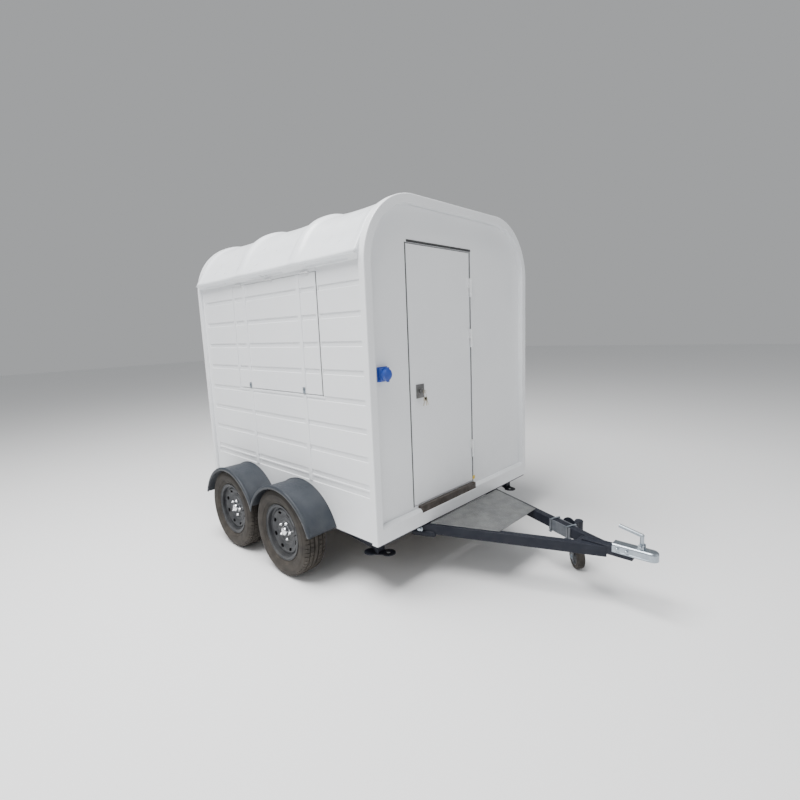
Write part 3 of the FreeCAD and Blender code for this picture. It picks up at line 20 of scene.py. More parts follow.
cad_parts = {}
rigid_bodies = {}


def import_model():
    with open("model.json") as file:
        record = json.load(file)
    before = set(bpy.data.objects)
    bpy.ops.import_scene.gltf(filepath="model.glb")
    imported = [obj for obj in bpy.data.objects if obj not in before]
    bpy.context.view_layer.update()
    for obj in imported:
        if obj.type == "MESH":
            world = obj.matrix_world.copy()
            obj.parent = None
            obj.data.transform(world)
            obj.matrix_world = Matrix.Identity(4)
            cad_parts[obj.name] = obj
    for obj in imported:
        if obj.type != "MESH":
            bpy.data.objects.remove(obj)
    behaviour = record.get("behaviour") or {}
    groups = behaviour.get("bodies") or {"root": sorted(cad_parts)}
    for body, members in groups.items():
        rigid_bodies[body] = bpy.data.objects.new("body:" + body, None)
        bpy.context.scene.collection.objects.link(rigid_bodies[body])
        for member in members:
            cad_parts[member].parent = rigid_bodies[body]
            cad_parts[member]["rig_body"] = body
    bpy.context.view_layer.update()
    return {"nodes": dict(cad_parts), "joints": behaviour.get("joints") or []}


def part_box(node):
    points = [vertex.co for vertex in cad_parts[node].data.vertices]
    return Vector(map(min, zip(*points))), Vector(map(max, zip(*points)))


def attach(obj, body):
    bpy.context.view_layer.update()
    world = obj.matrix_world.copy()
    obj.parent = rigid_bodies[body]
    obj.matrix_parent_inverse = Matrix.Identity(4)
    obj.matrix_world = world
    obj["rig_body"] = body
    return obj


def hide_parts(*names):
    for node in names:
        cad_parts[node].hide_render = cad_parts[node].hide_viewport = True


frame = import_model()

LOG = logging.getLogger("food_trailer")
Colour = tuple[float, float, float]
Point = Sequence[float]
Socket = bpy.types.NodeSocket
X, Y, Z = Vector((1, 0, 0)), Vector((0, 1, 0)), Vector((0, 0, 1))
SIDES = {"right": -1.0, "left": 1.0}
ENDS = ("front", "rear")
MERGE = 0.00002
NEAR = 0.001
ORIGIN = (0, 0, 0)


class Slot(Enum):
    """The record's material slots."""

    WHITE = "white_paint"
    ROOF = "roof_paint"
    BLACK = "black_steel"
    TREAD = "tread_steel"
    ZINC = "zinc"
    TYRE = "tyre"
    RIM = "rim_black"
    GUARD = "guard_plastic"
    INLET = "inlet_blue"
    LAMP = "lamp_red"
    PLATE = "plate_white"
    SILL = "sill_dark"
    FLOOR = "floor_board"
    CASTER = "jockey_rubber"
    LOCK = "lock_steel"
    HINGE = "hinge_white"


class Relief(Enum):
    """What the fine surface of a finish looks like."""

    PEEL = "peel"
    SPANGLE = "spangle"
    BRUSHED = "brushed"
    GRAIN = "grain"


# ---------------------------------------------------------------- finishes

class Tree:
    """The node tree of one material."""

    def __init__(self, name: str) -> None:
        """Start a material with its shader and the object's own coordinates."""
        self.material = bpy.data.materials.new(name)
        self.material.use_nodes = True
        self.nodes = self.material.node_tree.nodes
        self.links = self.material.node_tree.links
        self.shader = self.nodes["Principled BSDF"]
        self.place = self.nodes.new("ShaderNodeTexCoord").outputs["Object"]

    def put(self, node: bpy.types.Node, socket: str | int, value: object) -> None:
        """Link an output to a socket, or set the socket to a plain value."""
        if isinstance(value, Socket):
            self.links.new(value, node.inputs[socket])
        else:
            node.inputs[socket].default_value = value

    def node(self, kind: str, output: str | int, inputs: dict, **settings: object) -> Socket:
        """Make a node and fill its sockets.

        Args:
            kind: its type, without the words that all types start with.
            output: which of its outputs is wanted.
            inputs: the links and values that its sockets get.
            settings: its own settings.
        Returns:
            The output.
        """
        made = self.nodes.new("ShaderNode" + kind)
        for name, value in settings.items():
            setattr(made, name, value)
        for socket, value in inputs.items():
            self.put(made, socket, value)
        return made.outputs[output]

    def stretch(self, scale: Point) -> Socket:
        """The object's coordinates, scaled by a different amount on each axis."""
        return self.node("Mapping", "Vector", {"Vector": self.place, "Scale": scale})

    def noise(self, scale: float, detail: float = 3.0, vector: Socket | None = None) -> Socket:
        """Soft noise of a given scale.

        Args:
            scale: patches in a metre.
            detail: octaves of finer noise.
            vector: coordinates other than the object's own.
        Returns:
            The noise's factor output.
        """
        return self.node("TexNoise", "Fac",
                         {"Vector": vector or self.place, "Scale": scale, "Detail": detail})

    def cells(self, scale: float) -> Socket:
        """Flat crystals, as zinc shows."""
        return self.node("TexVoronoi", "Color", {"Vector": self.place, "Scale": scale})

    def spread(self, factor: Socket, low: float, high: float, start: float = 0.3,
               end: float = 0.7) -> Socket:
        """A factor stretched between two values.

        Args:
            factor: what to stretch.
            low: the result at start.
            high: the result at end.
            start: the factor that gives low.
            end: the factor that gives high.
        Returns:
            The stretched value.
        """
        return self.node("MapRange", "Result", {"Value": factor, "From Min": start, "From Max": end,
                                                "To Min": low, "To Max": high}, clamp=True)

    def height(self) -> Socket:
        """The object's own height coordinate."""
        return self.node("SeparateXYZ", "Z", {"Vector": self.place})

    def times(self, one: object, other: object) -> Socket:
        """The product of two factors."""
        return self.node("Math", 0, {0: one, 1: other}, operation="MULTIPLY")

    def blend(self, factor: object, one: object, other: object) -> Socket:
        """A mix of two colours by a factor."""
        one, other = ((*each, 1.0) if isinstance(each, tuple) else each for each in (one, other))
        return self.node("Mix", 2, {0: factor, 6: one, 7: other}, data_type="RGBA")

    def bump(self, height: object, distance: float, under: Socket | None = None) -> Socket:
        """A normal that follows a height, on top of another normal if one is given."""
        inputs = {"Height": height, "Distance": distance}
        if under is not None:
            inputs["Normal"] = under
        return self.node("Bump", "Normal", inputs)


@dataclass(frozen=True)
class Finish:
    """A surface: its two colours, how dull it is, and its fine relief."""

    name: str
    colour: Colour
    second: Colour
    roughness: float
    spread: float = 0.08
    metallic: float = 0.0
    coat: float = 0.0
    shine: float = 0.5
    patch: float = 5.0
    relief: Relief = Relief.PEEL
    relief_scale: float = 700.0
    relief_height: float = 0.00005
    wave_height: float = 0.0
    dust: Colour = (0.36, 0.33, 0.29)
    dust_share: float = 0.0
    dust_top: float = 0.9

    def material(self) -> bpy.types.Material:
        """The finish as a material, made once."""
        return bpy.data.materials.get(self.name) or self.make()

    def fine(self, tree: Tree) -> Socket:
        """The height of the fine relief."""
        if self.relief is Relief.SPANGLE:
            return tree.cells(self.relief_scale)
        if self.relief is Relief.BRUSHED:
            return tree.noise(self.relief_scale, 2.0, tree.stretch((0.06, 1.0, 1.0)))
        if self.relief is Relief.GRAIN:
            return tree.noise(self.relief_scale, 5.0, tree.stretch((0.05, 1.0, 1.0)))
        return tree.noise(self.relief_scale, 2.0)

    def make(self) -> bpy.types.Material:
        """Build the material's nodes."""
        tree = Tree(self.name)
        patches = tree.noise(self.patch, 4.0)
        fine = self.fine(tree)
        colour = tree.blend(tree.spread(patches, 0.0, 1.0), self.colour, self.second)
        if self.relief in (Relief.SPANGLE, Relief.GRAIN):
            colour = tree.blend(tree.spread(fine, 0.0, 0.5), colour, self.second)
        if self.dust_share > 0:
            low = tree.spread(tree.height(), 1.0, 0.0, 0.0, self.dust_top)
            blotch = tree.spread(tree.noise(14.0, 6.0), 0.25, 1.0, 0.35, 0.75)
            amount = tree.times(tree.times(low, blotch), self.dust_share)
            colour = tree.blend(amount, colour, self.dust)
        rough = tree.spread(tree.noise(self.patch * 9.0), self.roughness - self.spread,
                            self.roughness + self.spread)
        normal = tree.bump(fine, self.relief_height)
        if self.wave_height > 0:
            normal = tree.bump(tree.noise(2.6, 1.0), self.wave_height, normal)
        for socket, value in (("Base Color", colour), ("Roughness", rough),
                              ("Metallic", self.metallic), ("Coat Weight", self.coat),
                              ("Specular IOR Level", self.shine), ("Normal", normal)):
            tree.put(tree.shader, socket, value)
        return tree.material


PAINT = Finish("white_sheet_paint", (0.80, 0.815, 0.83), (0.765, 0.78, 0.80), 0.38, coat=0.15,
               patch=2.2, wave_height=0.004, dust_share=0.16, dust_top=0.8)
ROOF_PAINT = Finish("roof_sheet_paint", (0.80, 0.825, 0.85), (0.77, 0.795, 0.82), 0.34, coat=0.2,
                    patch=1.6, wave_height=0.006)
HINGE_PAINT = Finish("hinge_paint", (0.78, 0.79, 0.80), (0.66, 0.67, 0.68), 0.42, patch=60.0)
BLACK = Finish("chassis_black", (0.009, 0.011, 0.019), (0.018, 0.021, 0.030), 0.46, 0.14,
               shine=0.15,
               patch=9.0, relief_scale=900.0, relief_height=0.0001, dust_share=0.06, dust_top=0.5)
GUARD = Finish("mudguard_plastic", (0.017, 0.022, 0.030), (0.028, 0.034, 0.043), 0.50, 0.1,
               shine=0.3,
               patch=7.0, relief_scale=2200.0, relief_height=0.0001, dust_share=0.10, dust_top=0.75)
TYRE = Finish("tyre_rubber", (0.016, 0.015, 0.014), (0.034, 0.031, 0.028), 0.74, 0.1, shine=0.2,
              patch=18.0, relief_scale=1500.0, relief_height=0.0001, dust=(0.20, 0.17, 0.14),
              dust_share=0.28,
              dust_top=0.8)
CASTER = Finish("caster_rubber", (0.020, 0.018, 0.017), (0.046, 0.041, 0.037), 0.7, 0.1, shine=0.2,
                patch=40.0, relief_scale=1200.0, relief_height=0.0001, dust_share=0.16,
                dust_top=0.3)
RIM = Finish("wheel_black", (0.018, 0.020, 0.024), (0.040, 0.043, 0.048), 0.44, 0.12, shine=0.25,
             patch=22.0, relief_height=0.00008, dust_share=0.10, dust_top=0.6)
CHROME = Finish("chrome", (0.80, 0.81, 0.82), (0.66, 0.67, 0.69), 0.14, 0.06, 1.0, patch=60.0)
ZINC = Finish("zinc_plate", (0.44, 0.49, 0.53), (0.32, 0.36, 0.40), 0.34, 0.1, 1.0, patch=24.0,
              relief=Relief.SPANGLE, relief_scale=130.0, relief_height=0.00004)
TREAD = Finish("tread_plate_steel", (0.30, 0.31, 0.31), (0.20, 0.205, 0.21), 0.42, 0.12, 0.75,
               patch=16.0, relief=Relief.BRUSHED, relief_scale=500.0, dust_share=0.25, dust_top=0.9)
LOCK_STEEL = Finish("lock_steel", (0.17, 0.17, 0.175), (0.09, 0.09, 0.095), 0.34, 0.1, 0.9,
                    patch=70.0,
                    relief=Relief.BRUSHED, relief_scale=900.0)
BRASS = Finish("key_metal", (0.66, 0.60, 0.46), (0.52, 0.48, 0.40), 0.28, 0.08, 1.0, patch=90.0)
SILL = Finish("sill_strip", (0.060, 0.050, 0.044), (0.11, 0.095, 0.085), 0.46, 0.1, 0.5, patch=30.0,
              relief=Relief.BRUSHED, relief_scale=600.0)
BOARD = Finish("floor_board", (0.20, 0.15, 0.10), (0.30, 0.23, 0.16), 0.55, 0.1, patch=6.0,
               relief=Relief.GRAIN, relief_scale=70.0, relief_height=0.0003)
BLUE = Finish("inlet_plastic", (0.010, 0.045, 0.30), (0.016, 0.070, 0.40), 0.32, 0.06, coat=0.2,
              patch=40.0)
RUBBER = Finish("seal_rubber", (0.022, 0.022, 0.024), (0.045, 0.045, 0.048), 0.62, patch=50.0)
RED = Finish("red_lens", (0.42, 0.010, 0.010), (0.32, 0.008, 0.008), 0.16, 0.04, coat=0.4,
             patch=40.0)
AMBER = Finish("amber_lens", (0.72, 0.22, 0.012), (0.60, 0.17, 0.010), 0.16, 0.04, coat=0.4,
               patch=40.0)
CLEAR = Finish("clear_lens", (0.72, 0.73, 0.74), (0.62, 0.63, 0.65), 0.14, 0.04, coat=0.4,
               patch=40.0)
PLATE = Finish("blank_plate", (0.78, 0.78, 0.74), (0.70, 0.70, 0.67), 0.30, patch=20.0)
TAG = Finish("yellow_tag", (0.78, 0.56, 0.045), (0.70, 0.48, 0.035), 0.45, patch=60.0)
SLATE = Finish("jockey_grey", (0.085, 0.10, 0.12), (0.16, 0.17, 0.19), 0.42, 0.1, 0.3, patch=34.0,
               dust_share=0.2, dust_top=0.5)


# ---------------------------------------------------------------- shapes

def turn_to(axis: Point) -> Matrix:
    """The turn that points the shape's own up axis along an axis."""
    return Z.rotation_difference(Vector(axis)).to_matrix().to_4x4()


def bar(shape: BMesh, start: Point, end: Point, radius: float, tip: float | None = None,
        segments: int = 20) -> None:
    """Add a closed round bar between two points; tip is its end's radius where it tapers."""
    first, last = Vector(start), Vector(end)
    run = last - first
    place = Matrix.Translation((first + last) / 2) @ turn_to(run)
    bmesh.ops.create_cone(shape, cap_ends=True, cap_tris=False, segments=segments, radius1=radius,
                          radius2=radius if tip is None else tip, depth=run.length, matrix=place)


def block(shape: BMesh, low: Point, high: Point, round_edge: float = 0.0,
          turn: Matrix | None = None,
          about: Point = ORIGIN) -> None:
    """Add a block between two corners.

    Args:
        shape: what it is added to.
        low: the lowest corner.
        high: the highest corner.
        round_edge: radius of its edges.
        turn: a turn about a point.
        about: the point.
    """
    first, last = Vector(low), Vector(high)
    size = last - first
    place = Matrix.Translation((first + last) / 2) @ Matrix.Diagonal((*size, 1.0))
    made = bmesh.ops.create_cube(shape, size=1.0, matrix=place)["verts"]
    if round_edge:
        edges = list({edge for vert in made for edge in vert.link_edges})
        made = round_edges(shape, edges, round_edge, 3)
    if turn is not None:
        bmesh.ops.rotate(shape, verts=made, cent=Vector(about), matrix=turn.to_3x3())


def round_edges(shape: BMesh, edges: list[BMEdge], width: float, segments: int = 2) -> list:
    """Round some edges, and return the vertices of what came of them."""
    touched = {vert for edge in edges for vert in edge.verts}
    made = bmesh.ops.bevel(shape, geom=edges, offset=width, offset_type="OFFSET", affect="EDGES",
                           segments=segments, profile=0.5, clamp_overlap=True, material=-1)
    return list({vert for vert in (*touched, *made["verts"]) if vert.is_valid})


def bolt(shape: BMesh, foot: Point, axis: Point, across: float, washer: bool = True) -> None:
    """Add a hexagon bolt head, with a washer under it, standing on a point."""
    along = Vector(axis).normalized()
    base = Vector(foot)
    if washer:
        rest = base + along * across * 0.12
        bar(shape, base, rest, across * 0.95)
        base = rest
    flat = base + along * across * 0.52
    bar(shape, base, flat, across * 0.577, segments=6)
    bar(shape, flat, base + along * across * 0.62, across * 0.50, across * 0.40)


def line(shape: BMesh, points: Iterable[Point], closed: bool = False) -> tuple[list, list]:
    """Add a line of edges through a few points, and return its vertices and edges."""
    verts = [shape.verts.new(point) for point in points]
    pairs = list(zip(verts, verts[1:]))
    if closed:
        pairs.append((verts[-1], verts[0]))
    return verts, [shape.edges.new(pair) for pair in pairs]


def spin(shape: BMesh, geometry: list, angle: float, steps: int, centre: Point = ORIGIN,
         axis: Vector = Z, **switches: bool) -> list:
    """Turn geometry round an axis, leaving faces or copies behind.

    Args:
        shape: what the geometry belongs to.
        geometry: what is turned.
        angle: the whole turn.
        steps: stops on the way.
        centre: a point on the axis.
        axis: the axis.
        switches: the operator's own switches.
    Returns:
        The geometry at the last stop.
    """
    return bmesh.ops.spin(shape, geom=geometry, cent=centre, axis=axis, dvec=ORIGIN, angle=angle,
                          steps=steps, **switches)["geom_last"]


def lathe(shape: BMesh, outline: Iterable[Point], centre: Point, axis: Point, steps: int = 96,
          closed: bool = False) -> None:
    """Add a turned piece.

    Args:
        shape: what it is added to.
        outline: pairs of the distance along the axis and the radius.
        centre: the point that the distances count from.
        axis: the direction of the axis.
        steps: faces round it.
        closed: whether the outline's last point joins its first.
    """
    made = bmesh.new()
    verts, edges = line(made, [(radius, 0, along) for along, radius in outline], closed)
    spin(made, [*verts, *edges], math.tau, steps, use_merge=True)
    bmesh.ops.remove_doubles(made, verts=made.verts, dist=MERGE)
    bmesh.ops.recalc_face_normals(made, faces=made.faces)
    join(shape, made, Matrix.Translation(Vector(centre)) @ turn_to(axis))


def join(shape: BMesh, made: BMesh, place: Matrix | None = None) -> None:
    """Move one shape's geometry into another, and free it."""
    if place is not None:
        bmesh.ops.transform(made, verts=made.verts, matrix=place)
    passing = bpy.data.meshes.new("passing")
    made.to_mesh(passing)
    made.free()
    shape.from_mesh(passing)
    bpy.data.meshes.remove(passing)


def ring(shape: BMesh, centre: Point, axis: Point, radius: float, wire: float,
         steps: int = 40) -> None:
    """Add a ring of round wire."""
    turns = [math.tau * step / 10 for step in range(10)]
    wire_line = [(wire * math.sin(turn), radius + wire * math.cos(turn)) for turn in turns]
    lathe(shape, wire_line, centre, axis, steps, closed=True)


def copy_of(node: str, width: float, segments: int = 2, sharp: float = 28.0) -> BMesh:
    """A merged copy of a CAD node with its sharp edges rounded.

    Args:
        node: the CAD node.
        width: how wide the rounding is.
        segments: steps in the rounding.
        sharp: degrees between two faces from which an edge is rounded.
    Returns:
        The new shape.
    """
    shape = bmesh.new()
    shape.from_mesh(frame["nodes"][node].data)
    bmesh.ops.remove_doubles(shape, verts=shape.verts, dist=MERGE)
    bmesh.ops.dissolve_limit(shape, angle_limit=math.radians(0.6), use_dissolve_boundaries=False,
                             verts=shape.verts, edges=shape.edges, delimit=set())
    edges = [edge for edge in shape.edges
             if edge.is_manifold and edge.calc_face_angle() > math.radians(sharp)]
    if width:
        round_edges(shape, edges, width, segments)
    return shape


def everything(shape: BMesh) -> list:
    """All the vertices, edges and faces of a shape."""
    return [*shape.verts, *shape.edges, *shape.faces]


def only_verts(items: list) -> list[BMVert]:
    """The vertices among what an operator gives back."""
    return [item for item in items if isinstance(item, BMVert)]


def trim(shape: BMesh, point: Vector, normal: Vector) -> None:
    """Cut away what lies beyond a plane."""
    bmesh.ops.bisect_plane(shape, geom=everything(shape), dist=MERGE, plane_co=point,
                           plane_no=normal, clear_outer=True)


def stand(name: str, shape: BMesh) -> bpy.types.Object:
    """Stand a shape in the scene as a plain object, and free it."""
    mesh = bpy.data.meshes.new(name)
    shape.to_mesh(mesh)
    shape.free()
    thing = bpy.data.objects.new(name, mesh)
    bpy.context.scene.collection.objects.link(thing)
    return thing


def discard(thing: bpy.types.Object) -> None:
    """Remove an object and its mesh."""
    mesh = thing.data
    bpy.data.objects.remove(thing)
    bpy.data.meshes.remove(mesh)


def thicken(piece: bpy.types.Object, thickness: float, face: bpy.types.MeshPolygon,
            even: bool = False) -> None:
    """Give a sheet its thickness.

    Args:
        piece: the sheet.
        thickness: how thick it becomes, on its lower side.
        face: one of its faces that is known to be on top.
        even: whether the thickness is kept at bends.
    """
    wall = piece.modifiers.new("wall", "SOLIDIFY")
    wall.thickness = thickness
    wall.offset = -1 if face.normal.z > 0 else 1
    wall.use_even_offset = even


def apply_modifiers(piece: bpy.types.Object) -> None:
    """Turn what a piece's modifiers make into its own mesh."""
    graph = bpy.context.evaluated_depsgraph_get()
    made = bpy.data.meshes.new_from_object(piece.evaluated_get(graph))
    piece.modifiers.clear()
    piece.data = made


def joint(name: str) -> tuple[Vector, Vector]:
    """A joint of the record.

    Args:
        name: the joint's name.

    Returns:
        Its place and its axis.
    """
    found = [each for each in frame["joints"] if each["name"] == name][0]
    return Vector(found["pos_m"]), Vector(found["axis"]).normalized()


def add(name: str, shape: BMesh, finish: Finish, slot: Slot, body: str, *nodes: str,
        smooth: float = 32.0, recalculate: bool = True) -> bpy.types.Object:
    """Make a shape a finished piece of the trailer.

    Args:
        name: the piece's name.
        shape: its geometry, which is freed.
        finish: its surface.
        slot: the record's material slot that it belongs to; not used.
        body: the CAD body that it moves with.
        nodes: CAD nodes that it stands for.
        smooth: degrees between two faces up to which they are shaded as one.
        recalculate: whether its normals are worked out anew.
    Returns:
        The new object.
    """
    bmesh.ops.remove_doubles(shape, verts=shape.verts, dist=MERGE)
    if recalculate:
        bmesh.ops.recalc_face_normals(shape, faces=shape.faces)
    piece = stand(name, shape)
    mesh = piece.data
    mesh.polygons.foreach_set("use_smooth", [True] * len(mesh.polygons))
    mesh.set_sharp_from_angle(angle=math.radians(smooth))
    mesh.materials.append(finish.material())
    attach(piece, body)
    if nodes:
        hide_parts(*nodes)
    LOG.info("%s: %d faces on %s", name, len(mesh.polygons), body)
    return piece


def dress(nodes: str, finish: Finish, slot: Slot, width: float = 0.0015, segments: int = 2) -> None:
    """Stand copies with rounded edges in CAD nodes' places, on the same bodies.

    Args:
        nodes: the nodes' names, with spaces between them.
        finish: their surface.
        slot: the record's material slot.
        width: how wide the rounding is.
        segments: steps in the rounding.
    """
    for node in nodes.split():
        piece = add(node + "_finished", copy_of(node, width, segments), finish, slot,
                    frame["nodes"][node]["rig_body"], node, recalculate=False)
        piece.modifiers.new("even_shading", "WEIGHTED_NORMAL").keep_sharp = True


# ---------------------------------------------------------------- cabin

@dataclass
class Cabin:
    """Walls, rims, roof and floor."""

    corner: float = 0.400
    eave: float = 1.925
    reach: float = 0.025
    bows: tuple[float, float] = (0.610, 1.260)
    end_step: float = 0.004
    bow_step: float = -0.004
    bay_step: float = 0.019
    ridge: float = 0.016
    shoulder: float = 0.045
    skin: float = 0.042
    hem: float = 0.0045
    arc_steps: int = 20
    eave_cuts: int = 5
    stations: int = 150
    flat_share: float = 0.45
    sag_share: float = 0.55
    fade: float = 3.0

    def __post_init__(self) -> None:
        """Take the rims' and the roof's ends from the frame."""
        self.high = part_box("front_rim")[1]
        self.rear, self.front = (corner.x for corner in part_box("roof_shell"))
        self.marks = [(self.front, self.end_step),
                      *((self.high.x - bow, self.bow_step) for bow in self.bows),
                      (self.rear, self.end_step)]

    def build(self) -> None:
        """Make every fixed piece of the cabin."""
        dress("front_wall rear_wall", PAINT, Slot.WHITE, 0.001)
        dress("front_rim rear_rim", PAINT, Slot.WHITE, 0.002, 3)
        dress("right_wall left_wall", PAINT, Slot.WHITE, 0.0022, 3)
        dress("soffits", PAINT, Slot.WHITE, 0.001)
        dress("floor_panel", BOARD, Slot.FLOOR, 0.001)
        self.roof()
        self.hems()

    def step_at(self, along: float) -> float:
        """How far the roof sheet lies below the rims at a station along the trailer."""
        for (start, start_step), (end, end_step) in zip(self.marks, self.marks[1:]):
            if start >= along >= end:
                break
        share = (start - along) / (start - end)
        level = start_step + (end_step - start_step) * share
        nearest = min(start - along, along - end)
        rise = min(1.0, max(0.0, (nearest - self.ridge) / self.shoulder))
        press = rise * rise * (3 - 2 * rise)
        sag = 1 - (2 * share - 1) ** 2
        return level + (self.bay_step - level) * press * (self.flat_share + self.sag_share * sag)

    def roof(self) -> None:
        """One sheet over two bows: ridges over the bows, and a shallow sag between them."""
        half, top = self.high.y, self.high.z
        centre, level = half - self.corner, top - self.corner
        across, down = half + self.reach - centre, self.eave - level
        lean = math.atan2(down, across) + math.acos(self.corner / math.hypot(across, down))
        shape = bmesh.new()
        rear, front = self.rear, self.front
        crown = line(shape, [(front, across, top) for across in (0, centre / 2, centre)])[0]
        last = only_verts(spin(shape, [crown[-1]], lean - math.pi / 2, self.arc_steps,
                               (front, centre, level), X))[0]
        foot = shape.verts.new((front, half + self.reach, self.eave))
        shape.edges.new((last, foot))
        bmesh.ops.subdivide_edges(shape, edges=foot.link_edges[:], cuts=self.eave_cuts)
        bmesh.ops.mirror(shape, geom=[*shape.verts, *shape.edges], matrix=Matrix(),
                         merge_dist=MERGE,
                         axis="Y")
        bmesh.ops.remove_doubles(shape, verts=shape.verts, dist=MERGE)
        edges = shape.edges[:]
        stride = (rear - front) / self.stations
        for _ in range(self.stations):
            grown = bmesh.ops.extrude_edge_only(shape, edges=edges)["geom"]
            verts = only_verts(grown)
            bmesh.ops.translate(shape, verts=verts, vec=(stride, 0, 0))
            edges = [item for item in grown if isinstance(item, BMEdge)
                     and all(vert in verts for vert in item.verts)]
        height = top - self.eave
        for vert in shape.verts:
            rise = (vert.co.z - self.eave) / height
            step = self.step_at(vert.co.x) * min(1.0, rise * self.fade)
            vert.co.y *= 1 - step / half
            vert.co.z -= step * rise
        piece = add("roof_skin", shape, ROOF_PAINT, Slot.ROOF, "trailer", "roof_shell", smooth=40)
        thicken(piece, self.skin, piece.data.polygons[0], even=True)

    def hems(self) -> None:
        """The rolled hem along both eaves."""
        shape = bmesh.new()
        level = self.eave - self.hem / 2
        for sign in SIDES.values():
            across = sign * (self.high.y + self.reach - self.hem)
            bar(shape, (self.rear, across, level), (self.front, across, level), self.hem,
                segments=12)
        add("eave_hems", shape, ROOF_PAINT, Slot.ROOF, "trailer")


@dataclass
class Door:
    """The front door with its hinges, lock, keys, seals and threshold."""

    gap: float = 0.006
    seal: float = 0.0022
    seal_back: float = 0.004
    seal_front: float = 0.016
    strip_height: float = 0.015
    strip_depth: float = 0.003
    strip_past: float = 0.012
    strip_short: float = 0.004
    lip: float = 0.006
    lip_height: float = 0.0014
    tag_size: float = 0.028
    plate_depth: float = 0.0035
    ring_radius: float = 0.0135
    key_length: float = 0.052
    keys: tuple[tuple[int, float], ...] = ((-14, -0.003), (9, 0.003), (24, 0.006))

    def build(self) -> None:
        """Make every piece of the door and its opening."""
        dress("door_panel", PAINT, Slot.WHITE, 0.0016)
        dress("door_sill", SILL, Slot.SILL, 0.0015)
        dress("door_hinge_pins door_hinge_barrels", HINGE_PAINT, Slot.HINGE, 0.0008)
        self.seals()
        self.lock()
        self.tag()

    def seals(self) -> None:
        """Rubber lining of the opening, a lip on both its sides, and the strip across its top."""
        low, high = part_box("door_panel")
        face = high.x
        right, left = low.y - self.gap, high.y + self.gap
        foot, top = low.z - self.gap, high.z + self.gap
        back, front = low.x + self.seal_back, low.x + self.seal_front
        shape = bmesh.new()
        for across in (right, left - self.seal):
            block(shape, (back, across, low.z), (front, across + self.seal, high.z))
        for level in (foot, top - self.seal):
            block(shape, (back, low.y, level), (front, high.y, level + self.seal))
        for edge in (right - self.lip, left):
            block(shape, (face - NEAR, edge, foot), (face + self.lip_height, edge + self.lip, top))
        block(shape, (face, low.y + self.strip_short, top + 0.001),
              (face + self.strip_depth, left + self.strip_past, top + self.strip_height), 0.001)
        add("door_seals", shape, RUBBER, Slot.SILL, "trailer")

    def lock(self) -> None:
        """Square plate with a round knob, a cylinder, and a key with a ring and more keys."""
        low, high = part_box("door_lock")
        middle = (low + high) / 2
        face = low.x
        front = face + self.plate_depth
        plate = bmesh.new()
        block(plate, (face, low.y, low.z), (front, high.y, high.z), 0.0012)
        for across in (middle.y - 0.028, middle.y + 0.028):
            for level in (middle.z - 0.033, middle.z + 0.033):
                bar(plate, (front, across, level), (front + 0.0012, across, level), 0.0032, 0.0022,
                    12)
        knob = [(0.0, 0.0), (0.0, 0.022), (0.003, 0.022), (0.0042, 0.0205), (0.0045, 0.010),
                (0.0125, 0.0085), (0.0145, 0.0125), (0.0165, 0.0148), (0.0215, 0.015),
                (0.0225, 0.0135), (0.0222, 0.0)]
        lathe(plate, knob, (front, middle.y, middle.z), X, 40)
        add("lock_plate", plate, LOCK_STEEL, Slot.LOCK, "door", "door_lock")
        keys = bmesh.new()
        tip = front + knob[-1][0]
        block(keys, (tip - 0.004, middle.y - 0.0011, middle.z - 0.004),
              (tip + 0.006, middle.y + 0.0011, middle.z + 0.004), 0.0006)
        ring(keys, (tip + 0.012, middle.y, middle.z), Y, 0.0085, 0.0016, 24)
        hang = Vector((tip + 0.014, middle.y, middle.z - 0.021))
        ring(keys, hang, (0.3, 1.0, 0.1), self.ring_radius, 0.0009, 28)
        for lean, shift in self.keys:
            turn = Matrix.Rotation(math.radians(lean), 4, "X")
            foot = hang - Z * self.ring_radius + Y * shift
            for half, start, end, edge in ((0.009, -0.020, 0.001, 0.0008),
                                           (0.0035, -self.key_length, -0.019, 0.0005)):
                block(keys, foot + Vector((-0.001, -half, start)),
                      foot + Vector((0.001, half, end)),
                      edge, turn, foot)
        add("key_ring", keys, BRASS, Slot.LOCK, "door")

    def tag(self) -> None:
        """A blank tag at the foot of the opening's hinge side."""
        low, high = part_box("door_panel")
        shape = bmesh.new()
        corner = Vector((high.x, high.y + 0.004, low.z + 0.006))
        block(shape, corner, corner + Vector((0.0018, self.tag_size, self.tag_size * 0.9)), 0.0007)
        add("blank_tag", shape, TAG, Slot.HINGE, "trailer")


